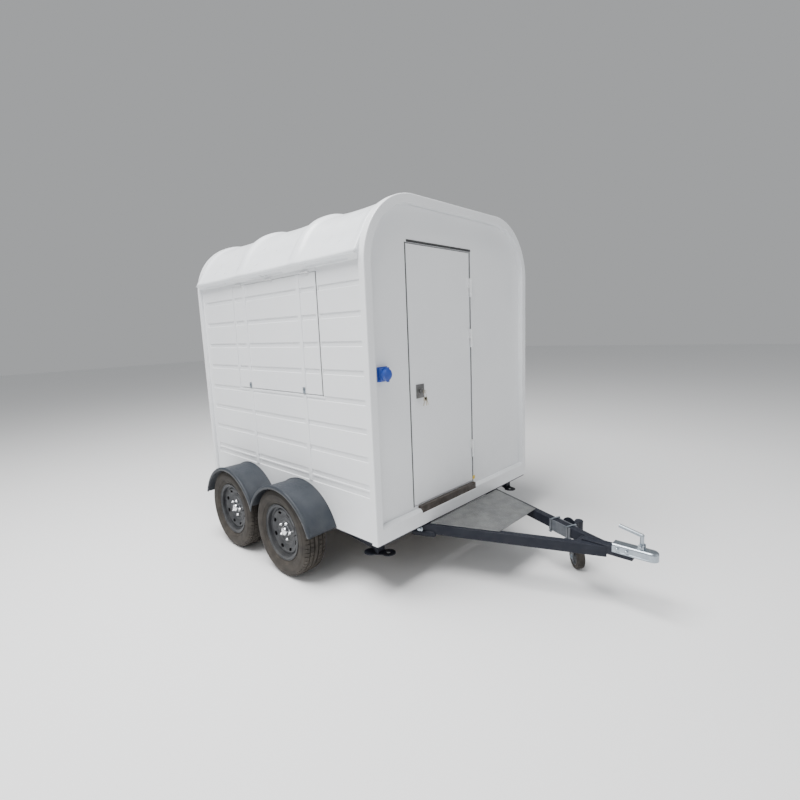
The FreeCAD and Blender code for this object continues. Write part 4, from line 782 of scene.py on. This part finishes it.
@dataclass
class Hatch:
    """The serving hatch in the right side, its hinges, latches and seals, and a dark strip of
    painted gap shade.
    """

    gap: float = 0.005
    seal: float = 0.0018
    seal_back: float = 0.014
    seal_front: float = 0.004
    rib: float = 0.005
    # lip and lip_height: the dark strip at the front edge, painted shade standing in for the shadow
    # in the gap.
    lip: float = 0.005
    lip_height: float = 0.0014
    drip_depth: float = 0.0025
    drip_height: float = 0.022
    drip_past: float = 0.012
    catch_width: float = 0.026

    def build(self) -> None:
        """Make every piece of the hatch."""
        dress("hatch_panel", PAINT, Slot.WHITE, 0.0022, 3)
        dress("hatch_hinge_pins hatch_hinge_barrels", HINGE_PAINT, Slot.HINGE, 0.0006)
        self.seals()
        self.latches()

    def seals(self) -> None:
        """Rubber lining inside the opening, a dark lip at its front end that is painted shade of
        the gap, and the drip strip above.
        """
        low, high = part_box("hatch_panel")
        rear, front, foot = low.x - self.gap, high.x + self.gap, low.z - self.gap
        back, ahead = high.y - self.seal_back, high.y - self.seal_front
        face = low.y + self.rib
        shape = bmesh.new()
        for along in (rear, front - self.seal):
            block(shape, (along, back, low.z), (along + self.seal, ahead, high.z))
        block(shape, (low.x, back, foot), (high.x, ahead, foot + self.seal))
        # Dark strip beside the front edge: painted shade standing in for the shadowed gap, not a
        # real seal lip.
        block(shape, (front, face - self.lip_height, foot), (front + self.lip, face + NEAR, high.z))
        add("hatch_seals_and_gap_shade", shape, RUBBER, Slot.SILL, "trailer")
        drip = bmesh.new()
        block(drip, (low.x - self.drip_past, face - self.drip_depth, high.z + 0.0015),
              (high.x + self.drip_past, face + NEAR, high.z + self.drip_height), 0.0008)
        add("hatch_drip", drip, PAINT, Slot.WHITE, "trailer")

    def latches(self) -> None:
        """Two catches at the hatch's lower edge, each with a plate, a grip and screws."""
        low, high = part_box("hatch_latches")
        width = self.catch_width
        shape = bmesh.new()
        for start in (low.x, high.x - width):
            block(shape, (start, high.y - 0.003, low.z), (start + width, high.y, high.z), 0.001)
            block(shape, (start + 0.007, low.y, low.z + 0.008),
                  (start + width - 0.007, high.y - 0.002, high.z - 0.008), 0.002)
            for level in (low.z + 0.004, high.z - 0.004):
                spot = Vector((start + width / 2, high.y - 0.003, level))
                bar(shape, spot, spot - Y * 0.0012, 0.0026, 0.0018, 12)
        add("hatch_catches", shape, ZINC, Slot.ZINC, "hatch", "hatch_latches")


@dataclass
class Inlet:
    """The covered power inlet beside the door."""

    flange: float = 0.008
    lid_radius: float = 0.033

    def build(self) -> None:
        """A square flange, a round body, and a hinged lid with a tab."""
        low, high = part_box("power_inlet")
        middle = (low + high) / 2
        face, reach = low.x, high.x - low.x
        shape = bmesh.new()
        block(shape, (face, low.y, low.z), (face + self.flange, high.y, high.z), 0.003)
        block(shape, (face, low.y + 0.006, low.z + 0.006),
              (face + reach * 0.55, high.y - 0.006, high.z - 0.006), 0.008)
        body_line = [(0.0, 0.0), (0.0, 0.031), (reach * 0.68, 0.031), (reach * 0.68, 0.0)]
        lathe(shape, body_line, (face, middle.y, middle.z), X, 48)
        lid_line = [(0.0, 0.0), (0.0, self.lid_radius), (0.010, self.lid_radius), (0.0135, 0.030),
                    (0.0155, 0.020), (0.016, 0.0)]
        lathe(shape, lid_line, (high.x - 0.016, middle.y, middle.z), X, 48)
        bar(shape, (high.x - 0.012, middle.y - 0.016, middle.z + 0.034),
            (high.x - 0.012, middle.y + 0.016, middle.z + 0.034), 0.0048)
        block(shape, (face + 0.010, middle.y - 0.010, middle.z + 0.028),
              (high.x - 0.010, middle.y + 0.010, middle.z + 0.0365), 0.002)
        block(shape, (high.x - 0.009, middle.y - 0.011, middle.z - 0.0405),
              (high.x - 0.004, middle.y + 0.011, middle.z - 0.026), 0.002)
        for across in (low.y + 0.008, high.y - 0.008):
            for level in (low.z + 0.008, high.z - 0.008):
                foot = face + self.flange
                bar(shape, (foot, across, level), (foot + 0.002, across, level), 0.0036, 0.0026, 12)
        add("inlet_housing", shape, BLUE, Slot.INLET, "trailer", "power_inlet")


# ---------------------------------------------------------------- chassis

@dataclass
class Chassis:
    """Frame, drawbar, axles and corner steadies."""

    bar_pitch: float = 0.0155
    bar_length: float = 0.0115
    bar_width: float = 0.0034
    bar_height: float = 0.0013
    shoe_place: float = 0.365
    stud_place: float = 0.338
    stud_out: float = 0.0225
    margin: float = 0.004
    clamp_places: tuple[float, float] = (0.60, 0.68)
    clamp_gap: float = 0.072
    clamp_back: float = 0.066

    def build(self) -> None:
        """Make every piece of the running gear but the wheels."""
        dress("chassis_frame drawbar_arm_right drawbar_arm_left drawbar_nose front_axle rear_axle",
              BLACK, Slot.BLACK, 0.0035, 3)
        dress("steady_brackets", BLACK, Slot.BLACK, 0.001)
        for end in ENDS:
            for side in SIDES:
                dress(f"steady_leg_{end}_{side}", BLACK, Slot.BLACK, 0.003)
                dress(f"steady_foot_{end}_{side}", BLACK, Slot.BLACK, 0.0012)
        self.tread_plate()
        self.fasteners()

    def tread_plate(self) -> None:
        """A plate with crossed raised bars all over."""
        dress("tread_plate", TREAD, Slot.TREAD, 0.0008)
        low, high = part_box("tread_plate")
        plan = frame["nodes"]["tread_plate"].data.vertices
        narrow = max(vert.co.y for vert in plan if vert.co.x > high.x - NEAR)
        stride = self.bar_pitch * 2
        tile = bmesh.new()
        for lean, along, across in ((45, 0.25, 0.25), (-45, 0.75, 0.25), (-45, 0.25, 0.75),
                                    (45, 0.75, 0.75)):
            size = Matrix.Diagonal((self.bar_length, self.bar_width, self.bar_height * 2, 1))
            made = bmesh.ops.create_cube(tile, size=1.0, matrix=size)["verts"]
            crest = [vert for vert in made if vert.co.z > 0]
            bmesh.ops.scale(tile, verts=crest, vec=(0.72, 0.35, 1))
            spot = Matrix.Translation((along * stride, across * stride, 0))
            turn = Matrix.Rotation(math.radians(lean), 4, "Z")
            bmesh.ops.transform(tile, verts=made, matrix=spot @ turn)
        carrier = stand("tread_tile", tile)
        for axis, length in enumerate((high.x - low.x, high.y - low.y)):
            rows = carrier.modifiers.new("rows", "ARRAY")
            rows.use_relative_offset = False
            rows.use_constant_offset = True
            rows.constant_offset_displace = [stride if axis == each else 0.0 for each in range(3)]
            rows.count = int(length / stride) + 1
        apply_modifiers(carrier)
        relief = bmesh.new()
        relief.from_mesh(carrier.data)
        discard(carrier)
        bmesh.ops.translate(relief, verts=relief.verts, vec=(low.x, low.y, high.z))
        slope = Vector((high.y - narrow, high.x - low.x, 0)).normalized()
        for point, normal in ((Vector((high.x - self.margin, 0, 0)), X),
                              (Vector((low.x + self.margin, 0, 0)), -X),
                              (Vector((low.x, high.y - self.margin, 0)), slope),
                              (Vector((low.x, low.y + self.margin, 0)),
                               Vector((slope.x, -slope.y, 0)))):
            trim(relief, point, normal)
        rims = [edge for edge in relief.edges if edge.is_boundary]
        bmesh.ops.holes_fill(relief, edges=rims, sides=0)
        add("tread_relief", relief, TREAD, Slot.TREAD, "trailer", smooth=20, recalculate=False)

    def fasteners(self) -> None:
        """A shoe and a bolt at each arm's root, and the axles' clamps."""
        shape, shoes = bmesh.new(), bmesh.new()
        for side, sign in SIDES.items():
            node = f"drawbar_arm_{side}"
            low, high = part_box(node)
            spots = [vert.co for vert in frame["nodes"][node].data.vertices]
            rear = [abs(spot.y) for spot in spots if spot.x < low.x + NEAR]
            front = [(spot.x, abs(spot.y)) for spot in spots if spot.x > high.x - 0.08]
            root = Vector((low.x, sum(rear) / len(rear), high.z))
            nose = Vector((*(sum(values) / len(front) for values in zip(*front)), high.z))
            ahead = (nose - root).normalized()
            outward = Vector((-ahead.y, ahead.x, 0))
            shoe = root + ahead * ((self.shoe_place - root.x) / ahead.x)
            shoe = Vector((shoe.x, sign * shoe.y, low.z))
            turn = Matrix.Rotation(sign * math.atan2(ahead.y, ahead.x), 4, "Z")
            block(shoes, shoe + Vector((-0.085, -0.028, -0.017)),
                  shoe + Vector((0.070, 0.028, 0.022)),
                  0.014, turn, shoe)
            stud = root + ahead * ((self.stud_place - root.x) / ahead.x) + outward * self.stud_out
            bolt(shape, (stud.x, sign * stud.y, low.z + 0.030), (outward.x, sign * outward.y, 0),
                 0.019)
        add("arm_shoes", shoes, BLACK, Slot.BLACK, "trailer")
        for end in ENDS:
            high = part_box(f"{end}_axle")[1]
            for sign in SIDES.values():
                for across in self.clamp_places:
                    start = Vector((high.x - self.clamp_back, sign * across, high.z - 0.002))
                    for shift in (0, self.clamp_gap):
                        stud = start + X * shift
                        bar(shape, stud, stud - Z * self.clamp_gap, 0.005, segments=12)
                        bolt(shape, stud - Z * self.clamp_back, -Z, 0.015, False)
        add("chassis_bolts", shape, ZINC, Slot.ZINC, "trailer")


@dataclass
class Coupler:
    """The pressed coupling head with its handle."""

    cheek: float = 0.033
    bead: float = 0.003

    def build(self) -> None:
        """Make the coupler, its fixings and its handle."""
        dress("coupler_body", ZINC, Slot.ZINC, 0.004, 3)
        dress("coupler_handle", ZINC, Slot.ZINC, 0.001)
        self.fixings()

    def fixings(self) -> None:
        """Bolts through the tube, the pressed beads of the sides and the pivot's nuts."""
        low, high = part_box("coupler_body")
        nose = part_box("drawbar_nose")[1].x
        pin = joint("coupler_handle_lift")[0]
        shape = bmesh.new()
        for sign in SIDES.values():
            out, side = (0, sign, 0), sign * self.cheek
            for along in (nose - 0.075, nose - 0.028):
                bolt(shape, (along, side, low.z + 0.024), out, 0.015)
            block(shape, (low.x + 0.004, side - self.bead, low.z + 0.002),
                  (high.x - 0.034, side + self.bead, low.z + 0.010), 0.0028)
            bolt(shape, (pin.x, sign * 0.018, pin.z), out, 0.013)
        add("coupler_fixings", shape, ZINC, Slot.ZINC, "trailer")


# ---------------------------------------------------------------- wheels

@dataclass
class RoadWheel:
    """One wheel: tyre with its tread, pressed rim, cap, nuts and valve."""

    end: str
    side: str
    pitches: int = 62
    slit: float = 0.80
    slit_depth: float = 0.0055
    windows: int = 8
    window_ring: float = 0.1215
    nuts: int = 5
    nut_ring: float = 0.055
    pressing: float = 0.0042
    smooth: float = 35.0
    slit_radius: float = 0.262

    def __post_init__(self) -> None:
        """Take the wheel's place from its CAD tyre."""
        low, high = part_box(f"tyre_{self.end}_{self.side}")
        self.centre = (low + high) / 2
        self.radius = (high.z - low.z) / 2
        self.half = (high.y - low.y) / 2
        self.out = SIDES[self.side] * Y
        self.body = f"wheel_{self.end}_{self.side}"

    def build(self) -> None:
        """Make every piece of the wheel."""
        self.tyre()
        self.rim()
        self.bright_parts()

    def tread_line(self) -> list[tuple[float, float]]:
        """Half of the tyre's outline, from the bead to the middle: distance outwards and radius."""
        wall, crown = self.half, self.radius
        return [
            (0.0570, 0.1655), (0.0605, 0.1690), (0.0605, 0.1850), (0.0660, 0.1905),
            (0.0715, 0.1965),
            (0.0752, 0.2030), (0.0772, 0.2038), (0.0780, 0.2066), (0.0772, 0.2080),
            (0.0795, 0.2160),
            (wall - 0.0010, 0.2270), (wall, 0.2370), (wall - 0.0006, 0.2450),
            (wall - 0.0002, 0.2466),
            (wall - 0.0008, 0.2492), (wall - 0.0026, 0.2510), (0.0775, 0.2610), (0.0748, 0.2690),
            (0.0700, 0.2768), (0.0640, 0.2815), (0.0505, crown - 0.0012), (0.0490, crown - 0.0080),
            (0.0430, crown - 0.0080), (0.0415, crown - 0.0006), (0.0195, crown),
            (0.0180, crown - 0.0078),
            (0.0120, crown - 0.0078), (0.0105, crown), (0.0, crown),
        ]

    def tyre(self) -> None:
        """The tyre, from one pitch of its tread turned round."""
        half_line = self.tread_line()
        outline = half_line + [(-along, radius) for along, radius in reversed(half_line[:-1])]
        pitch = math.tau / self.pitches
        slit = math.radians(self.slit)
        shape = bmesh.new()
        verts, edges = line(shape, [(radius, 0, along) for along, radius in outline], closed=True)
        bmesh.ops.rotate(shape, verts=verts, cent=ORIGIN,
                         matrix=Matrix.Rotation(-pitch / 2, 3, "Z"))
        geometry = [*verts, *edges]
        for angle in ((pitch - slit) / 2, slit, (pitch - slit) / 2):
            geometry = spin(shape, geometry, angle, 1)
        slits = [face for face in shape.faces if self.is_slit(face.calc_center_median(), slit)]
        sunk = bmesh.ops.extrude_face_region(shape, geom=slits)["geom"]
        bmesh.ops.translate(shape, verts=only_verts(sunk), vec=(-self.slit_depth, 0, 0))
        bmesh.ops.delete(shape, geom=[face for face in slits if face.is_valid],
                         context="FACES_ONLY")
        spin(shape, everything(shape), math.tau - pitch, self.pitches - 1, use_duplicate=True)
        bmesh.ops.remove_doubles(shape, verts=shape.verts, dist=MERGE)
        bmesh.ops.transform(shape, verts=shape.verts,
                            matrix=Matrix.Translation(self.centre) @ turn_to(self.out))
        add(f"tread_{self.end}_{self.side}", shape, TYRE, Slot.TYRE, self.body,
            f"tyre_{self.end}_{self.side}", smooth=self.smooth)

    def is_slit(self, spot: Vector, slit: float) -> bool:
        """Whether a face of the wedge lies on a rib, within the slit."""
        across = abs(spot.z)
        in_slit = abs(math.atan2(spot.y, spot.x)) < slit / 4
        on_rib = 0.052 < across < 0.0735 or 0.020 < across < 0.0415
        return in_slit and on_rib and spot.xy.length > self.slit_radius

    def rim(self) -> None:
        """A barrel with two edges and a dished disc with windows."""
        shape = bmesh.new()
        barrel = [
            (0.0655, 0.1822), (0.0662, 0.1790), (0.0622, 0.1760), (0.0606, 0.1650),
            (0.0420, 0.1640),
            (0.0350, 0.1510), (0.0060, 0.1490), (-0.0120, 0.1520), (-0.0420, 0.1640),
            (-0.0606, 0.1650),
            (-0.0622, 0.1760), (-0.0662, 0.1790), (-0.0655, 0.1822),
        ]
        wall = self.pressing
        inner = [(along * 0.94, radius - wall) for along, radius in reversed(barrel[1:-1])]
        lathe(shape, [*barrel, (-0.0600, 0.1800), *inner, (0.0600, 0.1800)], self.centre, self.out,
              96, True)
        face = [
            (0.0330, 0.1490), (0.0385, 0.1440), (0.0410, 0.1380), (0.0405, 0.1300),
            (0.0370, 0.1180),
            (0.0300, 0.1040), (0.0262, 0.0930), (0.0278, 0.0880), (0.0282, 0.0790),
            (0.0262, 0.0740),
            (0.0240, 0.0700), (0.0240, 0.0340),
        ]
        back = [(along - wall, radius) for along, radius in reversed(face)]
        disc = bmesh.new()
        lathe(disc, [*face, *back], self.centre, self.out, 96, True)
        plate = add(f"disc_{self.end}_{self.side}", disc, RIM, Slot.RIM, self.body,
                    smooth=self.smooth)
        self.cut_windows(plate)
        hub = [(0.0, 0.0), (0.0, 0.033), (0.0245, 0.033), (0.0245, 0.0)]
        lathe(shape, hub, self.centre, self.out, 48)
        add(f"barrel_{self.end}_{self.side}", shape, RIM, Slot.RIM, self.body,
            f"rim_{self.end}_{self.side}", smooth=self.smooth)

    def cut_windows(self, plate: bpy.types.Object) -> None:
        """Take the oval windows out of the disc."""
        tools = bmesh.new()
        for step in range(self.windows):
            turn = math.tau * (step + 0.5) / self.windows
            oval = Matrix.Diagonal((0.0098, 0.0165, 0.08, 1))
            place = (Matrix.Translation(self.centre) @ turn_to(self.out) @ Matrix.Rotation(turn, 4,
                                                                                           "Z")
                     @ Matrix.Translation((self.window_ring, 0, 0.03)) @ oval)
            bmesh.ops.create_cone(tools, cap_ends=True, cap_tris=False, segments=28, radius1=1.0,
                                  radius2=1.0, depth=1.0, matrix=place)
        bmesh.ops.recalc_face_normals(tools, faces=tools.faces)
        cutter = stand("window_tools", tools)
        opening = plate.modifiers.new("windows", "BOOLEAN")
        opening.object = cutter
        opening.solver = "EXACT"
        apply_modifiers(plate)
        discard(cutter)
        plate.data.set_sharp_from_angle(angle=math.radians(self.smooth))
        plate.modifiers.new("even_shading", "WEIGHTED_NORMAL").keep_sharp = True

    def bright_parts(self) -> None:
        """The chromed cap and nuts, and the rubber valve."""
        shape = bmesh.new()
        cap = [(0.022, 0.0), (0.022, 0.0335), (0.026, 0.0335), (0.0275, 0.0300), (0.0420, 0.0290),
               (0.0500, 0.0245), (0.0540, 0.0160), (0.0550, 0.0070), (0.0550, 0.0)]
        lathe(shape, cap, self.centre, self.out, 48)
        turn = turn_to(self.out)
        for step in range(self.nuts):
            angle = math.tau * step / self.nuts
            spot = Vector((math.cos(angle) * self.nut_ring, math.sin(angle) * self.nut_ring, 0.024))
            foot = self.centre + turn @ spot
            bar(shape, foot, foot + self.out * 0.013, 0.0108, 0.0104, 6)
            bar(shape, foot + self.out * 0.013, foot + self.out * 0.0215, 0.0092, 0.0046, 16)
        add(f"cap_{self.end}_{self.side}", shape, CHROME, Slot.ZINC, self.body)
        valve = bmesh.new()
        foot = self.centre + turn @ Vector((0.135, 0.012, 0.0375))
        bar(valve, foot, foot + self.out * 0.022, 0.0042, 0.0034, 12)
        bar(valve, foot + self.out * 0.020, foot + self.out * 0.0275, 0.0040, 0.0036, 12)
        add(f"valve_{self.end}_{self.side}", valve, RUBBER, Slot.TYRE, self.body)


@dataclass
class Mudguards:
    """The double arch over one side's wheels."""

    side: str
    radius: float = 0.364
    centre_level: float = 0.225
    sheet: float = 0.004
    foot_turn: float = 0.26
    steps: int = 44
    screw_turns: tuple[int, ...] = (40, 70, 110, 140)
    screw_drop: float = 0.012

    def build(self) -> None:
        """Two arches, trimmed at the V between them and at their feet."""
        sign = SIDES[self.side]
        low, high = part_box(f"{self.side}_mudguards")
        axles = [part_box(f"tyre_{end}_{self.side}") for end in ENDS]
        places = [(each[0].x + each[1].x) / 2 for each in axles]
        divide = sum(places) / 2
        outer = max(abs(low.y), abs(high.y))
        wall = min(abs(low.y), abs(high.y))
        rise = self.radius
        section = [(wall, rise + 0.006), (wall + 0.001, rise + 0.0015), (wall + 0.006, rise),
                   (0.88, rise),
                   (0.95, rise), (outer - 0.026, rise), (outer - 0.020, rise + 0.0016),
                   (outer - 0.015, rise + 0.0052), (outer - 0.009, rise + 0.0066),
                   (outer - 0.0035, rise + 0.0052), (outer - 0.0005, rise + 0.0005),
                   (outer, rise - 0.006), (outer - 0.0002, rise - 0.018)]
        shape = bmesh.new()
        for place in places:
            arch = bmesh.new()
            verts, edges = line(arch, [(place + reach, sign * across, self.centre_level)
                                       for across, reach in section])
            centre = Vector((place, 0, self.centre_level))
            bmesh.ops.rotate(arch, verts=verts, cent=centre,
                             matrix=Matrix.Rotation(-self.foot_turn, 3, "Y"))
            spin(arch, [*verts, *edges], math.pi - 2 * self.foot_turn, self.steps, centre, -Y)
            inward = 1 if place > divide else -1
            trim(arch, Vector((divide, 0, 0)), -X * inward)
            trim(arch, Vector((0, 0, low.z)), -Z)
            join(shape, arch)
        bmesh.ops.remove_doubles(shape, verts=shape.verts, dist=0.0003)
        piece = add(f"{self.side}_guard", shape, GUARD, Slot.GUARD, "trailer",
                    f"{self.side}_mudguards", smooth=50)
        top = max(piece.data.polygons, key=lambda face: face.center.z)
        thicken(piece, self.sheet, top)
        fixings = bmesh.new()
        ring_radius = rise - self.screw_drop
        for place in places:
            for turn in map(math.radians, self.screw_turns):
                spot = Vector((place + ring_radius * math.cos(turn), sign * (wall + NEAR),
                               self.centre_level + ring_radius * math.sin(turn)))
                bolt(fixings, spot, (0, sign, 0), 0.010)
        add(f"{self.side}_guard_screws", fixings, ZINC, Slot.ZINC, "trailer")


# ---------------------------------------------------------------- jockey wheel, rear end

@dataclass
class Jockey:
    """The swing-up jockey wheel on the left arm."""

    leg_top: float = 0.316
    half: float = 0.025
    clamp_place: float = 0.066
    clamp_half: float = 0.0352
    clamp_wire: float = 0.0045
    clamp_foot: float = 0.258
    clamp_top: float = 0.3395

    def build(self) -> None:
        """Make the mount, the leg, the fork and the wheel."""
        dress("jockey_mount", SLATE, Slot.BLACK, 0.0015)
        dress("jockey_leg", BLACK, Slot.BLACK, 0.0015)
        dress("jockey_fork", SLATE, Slot.BLACK, 0.0012)
        self.wheel()
        self.fixings()

    def wheel(self) -> None:
        """A solid rubber tread on a grey centre with a hub."""
        centre, axis = joint("jockey_wheel_spin")
        low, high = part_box("jockey_wheel")
        radius, half = (high.z - low.z) / 2, self.half
        tread = bmesh.new()
        rubber = [(-half, radius - 0.022), (-half, radius - 0.008),
                  (-half + 0.003, radius - 0.0025),
                  (-half + 0.009, radius), (half - 0.009, radius), (half - 0.003, radius - 0.0025),
                  (half, radius - 0.008), (half, radius - 0.022)]
        lathe(tread, rubber, centre, axis, 72, True)
        add("jockey_tread", tread, CASTER, Slot.CASTER, "jockey_wheel", "jockey_wheel")
        core = bmesh.new()
        shell = [(-0.022, radius - 0.021), (-0.022, radius - 0.026), (-0.010, radius - 0.031),
                 (-0.010, 0.021), (-half, 0.017), (-half, 0.0065), (half, 0.0065), (half, 0.017),
                 (0.010, 0.021), (0.010, radius - 0.031), (0.022, radius - 0.026),
                 (0.022, radius - 0.021)]
        lathe(core, shell, centre, axis, 48, True)
        add("jockey_core", core, SLATE, Slot.BLACK, "jockey_wheel")

    def fixings(self) -> None:
        """The axle's nuts, the clamps and the swing bolt, the leg's cap and the pull pin."""
        centre, axis = joint("jockey_wheel_spin")
        nuts, bolts, clamps, crown, pin = (bmesh.new() for _ in range(5))
        for sign in (-1, 1):
            bolt(nuts, centre + axis * sign * 0.035, axis * sign, 0.015)
        add("jockey_nuts", nuts, ZINC, Slot.ZINC, "jockey_fork")
        pivot, out = joint("jockey_swing")
        along = out.cross(Z)
        span = out * self.clamp_half
        for shift in (-self.clamp_place, self.clamp_place):
            for side in (-1, 1):
                foot = pivot + along * shift + span * side
                foot.z = self.clamp_foot
                bar(clamps, foot, (foot.x, foot.y, self.clamp_top), self.clamp_wire, segments=12)
                bolt(clamps, foot + Z * 0.009, -Z, 0.013)
            crest = pivot + along * shift
            crest.z = self.clamp_top
            bar(bolts, crest - span, crest + span, self.clamp_wire, segments=12)
        bolt(bolts, pivot + out * 0.0785, out, 0.020)
        add("jockey_bolts", bolts, ZINC, Slot.ZINC, "trailer")
        add("jockey_clamps", clamps, SLATE, Slot.BLACK, "trailer")
        stem = joint("jockey_swivel")[0]
        cap = [(0.0, 0.0), (0.0, 0.0255), (0.004, 0.0255), (0.009, 0.022), (0.0115, 0.012),
               (0.012, 0.0)]
        lathe(crown, cap, (stem.x, stem.y, self.leg_top - 0.004), Z, 32)
        add("jockey_cap", crown, BLACK, Slot.BLACK, "jockey_leg")
        pull = pivot - along * 0.030 + out * 0.0585
        bar(pin, pull, pull + out * 0.012, 0.0075)
        bar(pin, pull + out * 0.010, pull + out * 0.030, 0.0042)
        ring(pin, pull + out * 0.034, along, 0.010, 0.0018, 24)
        add("jockey_pull_pin", pin, ZINC, Slot.ZINC, "jockey_leg")


@dataclass
class RearEnd:
    """Tail lamps and the blank number plate."""

    screw_place: float = 0.15
    plate_edge: float = 0.005
    lamp_width: float = 0.100
    lens_inset: float = 0.004
    rib_pitch: float = 0.006

    def build(self) -> None:
        """Make the rear fittings."""
        self.lamps()
        dress("number_plate", PLATE, Slot.PLATE, 0.0012)
        low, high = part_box("number_plate")
        screws = bmesh.new()
        for across in (-self.screw_place, self.screw_place):
            spot = Vector((low.x, across, ((low + high) / 2).z))
            bar(screws, spot, spot - X * 0.0022, 0.0055, 0.0042, 16)
        edge = self.plate_edge
        for first, last in (((low.y, low.z), (high.y, low.z + edge)),
                            ((low.y, high.z - edge), (high.y, high.z)),
                            ((low.y, low.z), (low.y + edge, high.z)),
                            ((high.y - edge, low.z), (high.y, high.z))):
            block(screws, (low.x - 0.0015, *first), (low.x + NEAR, *last), 0.0006)
        add("plate_frame", screws, ZINC, Slot.ZINC, "trailer")

    def lamps(self) -> None:
        """A dark base and three ribbed lenses on each side."""
        low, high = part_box("tail_lamps")
        width, inset = self.lamp_width, self.lens_inset
        foot, tall = low.z + inset, high.z - low.z - 2 * inset
        bases = bmesh.new()
        lenses = {RED: bmesh.new(), AMBER: bmesh.new(), CLEAR: bmesh.new()}
        for sign in SIDES.values():
            start = low.y if sign < 0 else high.y - width
            block(bases, (high.x - 0.010, start, low.z), (high.x, start + width, high.z), 0.002)
            for finish, first, last in ((RED, 0.52, 1.0), (AMBER, 0.26, 0.52), (CLEAR, 0.0, 0.26)):
                lens = lenses[finish]
                bottom, top = foot + tall * first, foot + tall * last - 0.001
                block(lens, (low.x, start + inset, bottom),
                      (high.x - 0.008, start + width - inset, top),
                      0.003)
                ribs = int((top - bottom) / self.rib_pitch)
                for rib in range(1, ribs):
                    level = bottom + (top - bottom) * rib / ribs
                    bar(lens, (low.x + 0.0006, start + 2 * inset, level),
                        (low.x + 0.0006, start + width - 2 * inset, level), 0.0012, segments=8)
        add("lamp_bases", bases, RUBBER, Slot.LAMP, "trailer", "tail_lamps")
        for finish, shape in lenses.items():
            add(finish.name + "es", shape, finish, Slot.LAMP, "trailer")


# ---------------------------------------------------------------- studio

@dataclass(frozen=True)
class Panel:
    """One square light: where it stands, its side's length and its power."""

    name: str
    place: Point
    size: float
    power: float


PANELS = (Panel("top", (-0.4, -2.4, 6.5), 4.0, 900), Panel("key", (1.5, -6.0, 3.5), 4.0, 50),
          Panel("fill", (6.0, 1.0, 3.0), 4.0, 60))


@dataclass
class Studio:
    """Floor, light and camera."""

    place: Point = (2.1525, -2.446, 1.521)
    yaw: float = 133.77
    pitch: float = 8.52
    roll: float = 2.30
    lens: float = 20.764
    floor_size: float = 60.0
    sky: float = 0.42
    aim: Point = (-0.3, 0, 1.0)

    def build(self) -> None:
        """Make everything that isn't part of the trailer."""
        self.floor()
        self.lights()
        self.camera()

    def floor(self) -> None:
        """A plain pale floor."""
        shape = bmesh.new()
        bmesh.ops.create_grid(shape, x_segments=1, y_segments=1, size=self.floor_size / 2)
        floor = stand("studio_floor", shape)
        material = bpy.data.materials.new("studio_floor")
        material.use_nodes = True
        shader = material.node_tree.nodes["Principled BSDF"]
        shader.inputs["Base Color"].default_value = (0.90, 0.90, 0.90, 1)
        shader.inputs["Roughness"].default_value = 0.9
        floor.data.materials.append(material)

    def lights(self) -> None:
        """Soft light from all round, a strong panel overhead, and two weak ones at the sides."""
        world = bpy.data.worlds.new("studio")
        world.use_nodes = True
        sky = world.node_tree.nodes["Background"]
        sky.inputs["Color"].default_value = (0.96, 0.98, 1.0, 1)
        sky.inputs["Strength"].default_value = self.sky
        bpy.context.scene.world = world
        for panel in PANELS:
            light = bpy.data.lights.new(panel.name, "AREA")
            light.shape = "SQUARE"
            light.size = panel.size
            light.energy = panel.power
            lamp = bpy.data.objects.new(panel.name, light)
            lamp.location = panel.place
            sight = Vector(self.aim) - Vector(panel.place)
            lamp.rotation_euler = sight.to_track_quat("-Z", "Y").to_euler()
            bpy.context.scene.collection.objects.link(lamp)

    def camera(self) -> None:
        """A wide lens at eye level, off the trailer's front right corner."""
        yaw, pitch, roll = (math.radians(angle) for angle in (self.yaw, self.pitch, self.roll))
        ahead = Vector((math.cos(yaw) * math.cos(pitch), math.sin(yaw) * math.cos(pitch),
                        -math.sin(pitch)))
        level = Vector((math.sin(yaw), -math.cos(yaw), 0))
        down = ahead.cross(level)
        right = math.cos(roll) * level + math.sin(roll) * down
        lower = -math.sin(roll) * level + math.cos(roll) * down
        data = bpy.data.cameras.new("camera")
        data.sensor_width = 36
        data.lens = self.lens
        camera = bpy.data.objects.new("camera", data)
        turn = Matrix((right, -lower, -ahead)).transposed().to_4x4()
        camera.matrix_world = Matrix.Translation(Vector(self.place)) @ turn
        bpy.context.scene.collection.objects.link(camera)
        bpy.context.scene.camera = camera


def main() -> None:
    """Build the trailer's sub-assemblies in order, then the studio."""
    logging.basicConfig(level=logging.INFO, format="%(message)s")
    assemblies = [Cabin(), Door(), Hatch(), Inlet(), Chassis(), Coupler(),
                  *(RoadWheel(end, side) for end in ENDS for side in SIDES),
                  *(Mudguards(side) for side in SIDES), Jockey(), RearEnd(), Studio()]
    for assembly in assemblies:
        LOG.info("building %s", type(assembly).__name__)
        assembly.build()


if __name__ == "__main__":
    main()
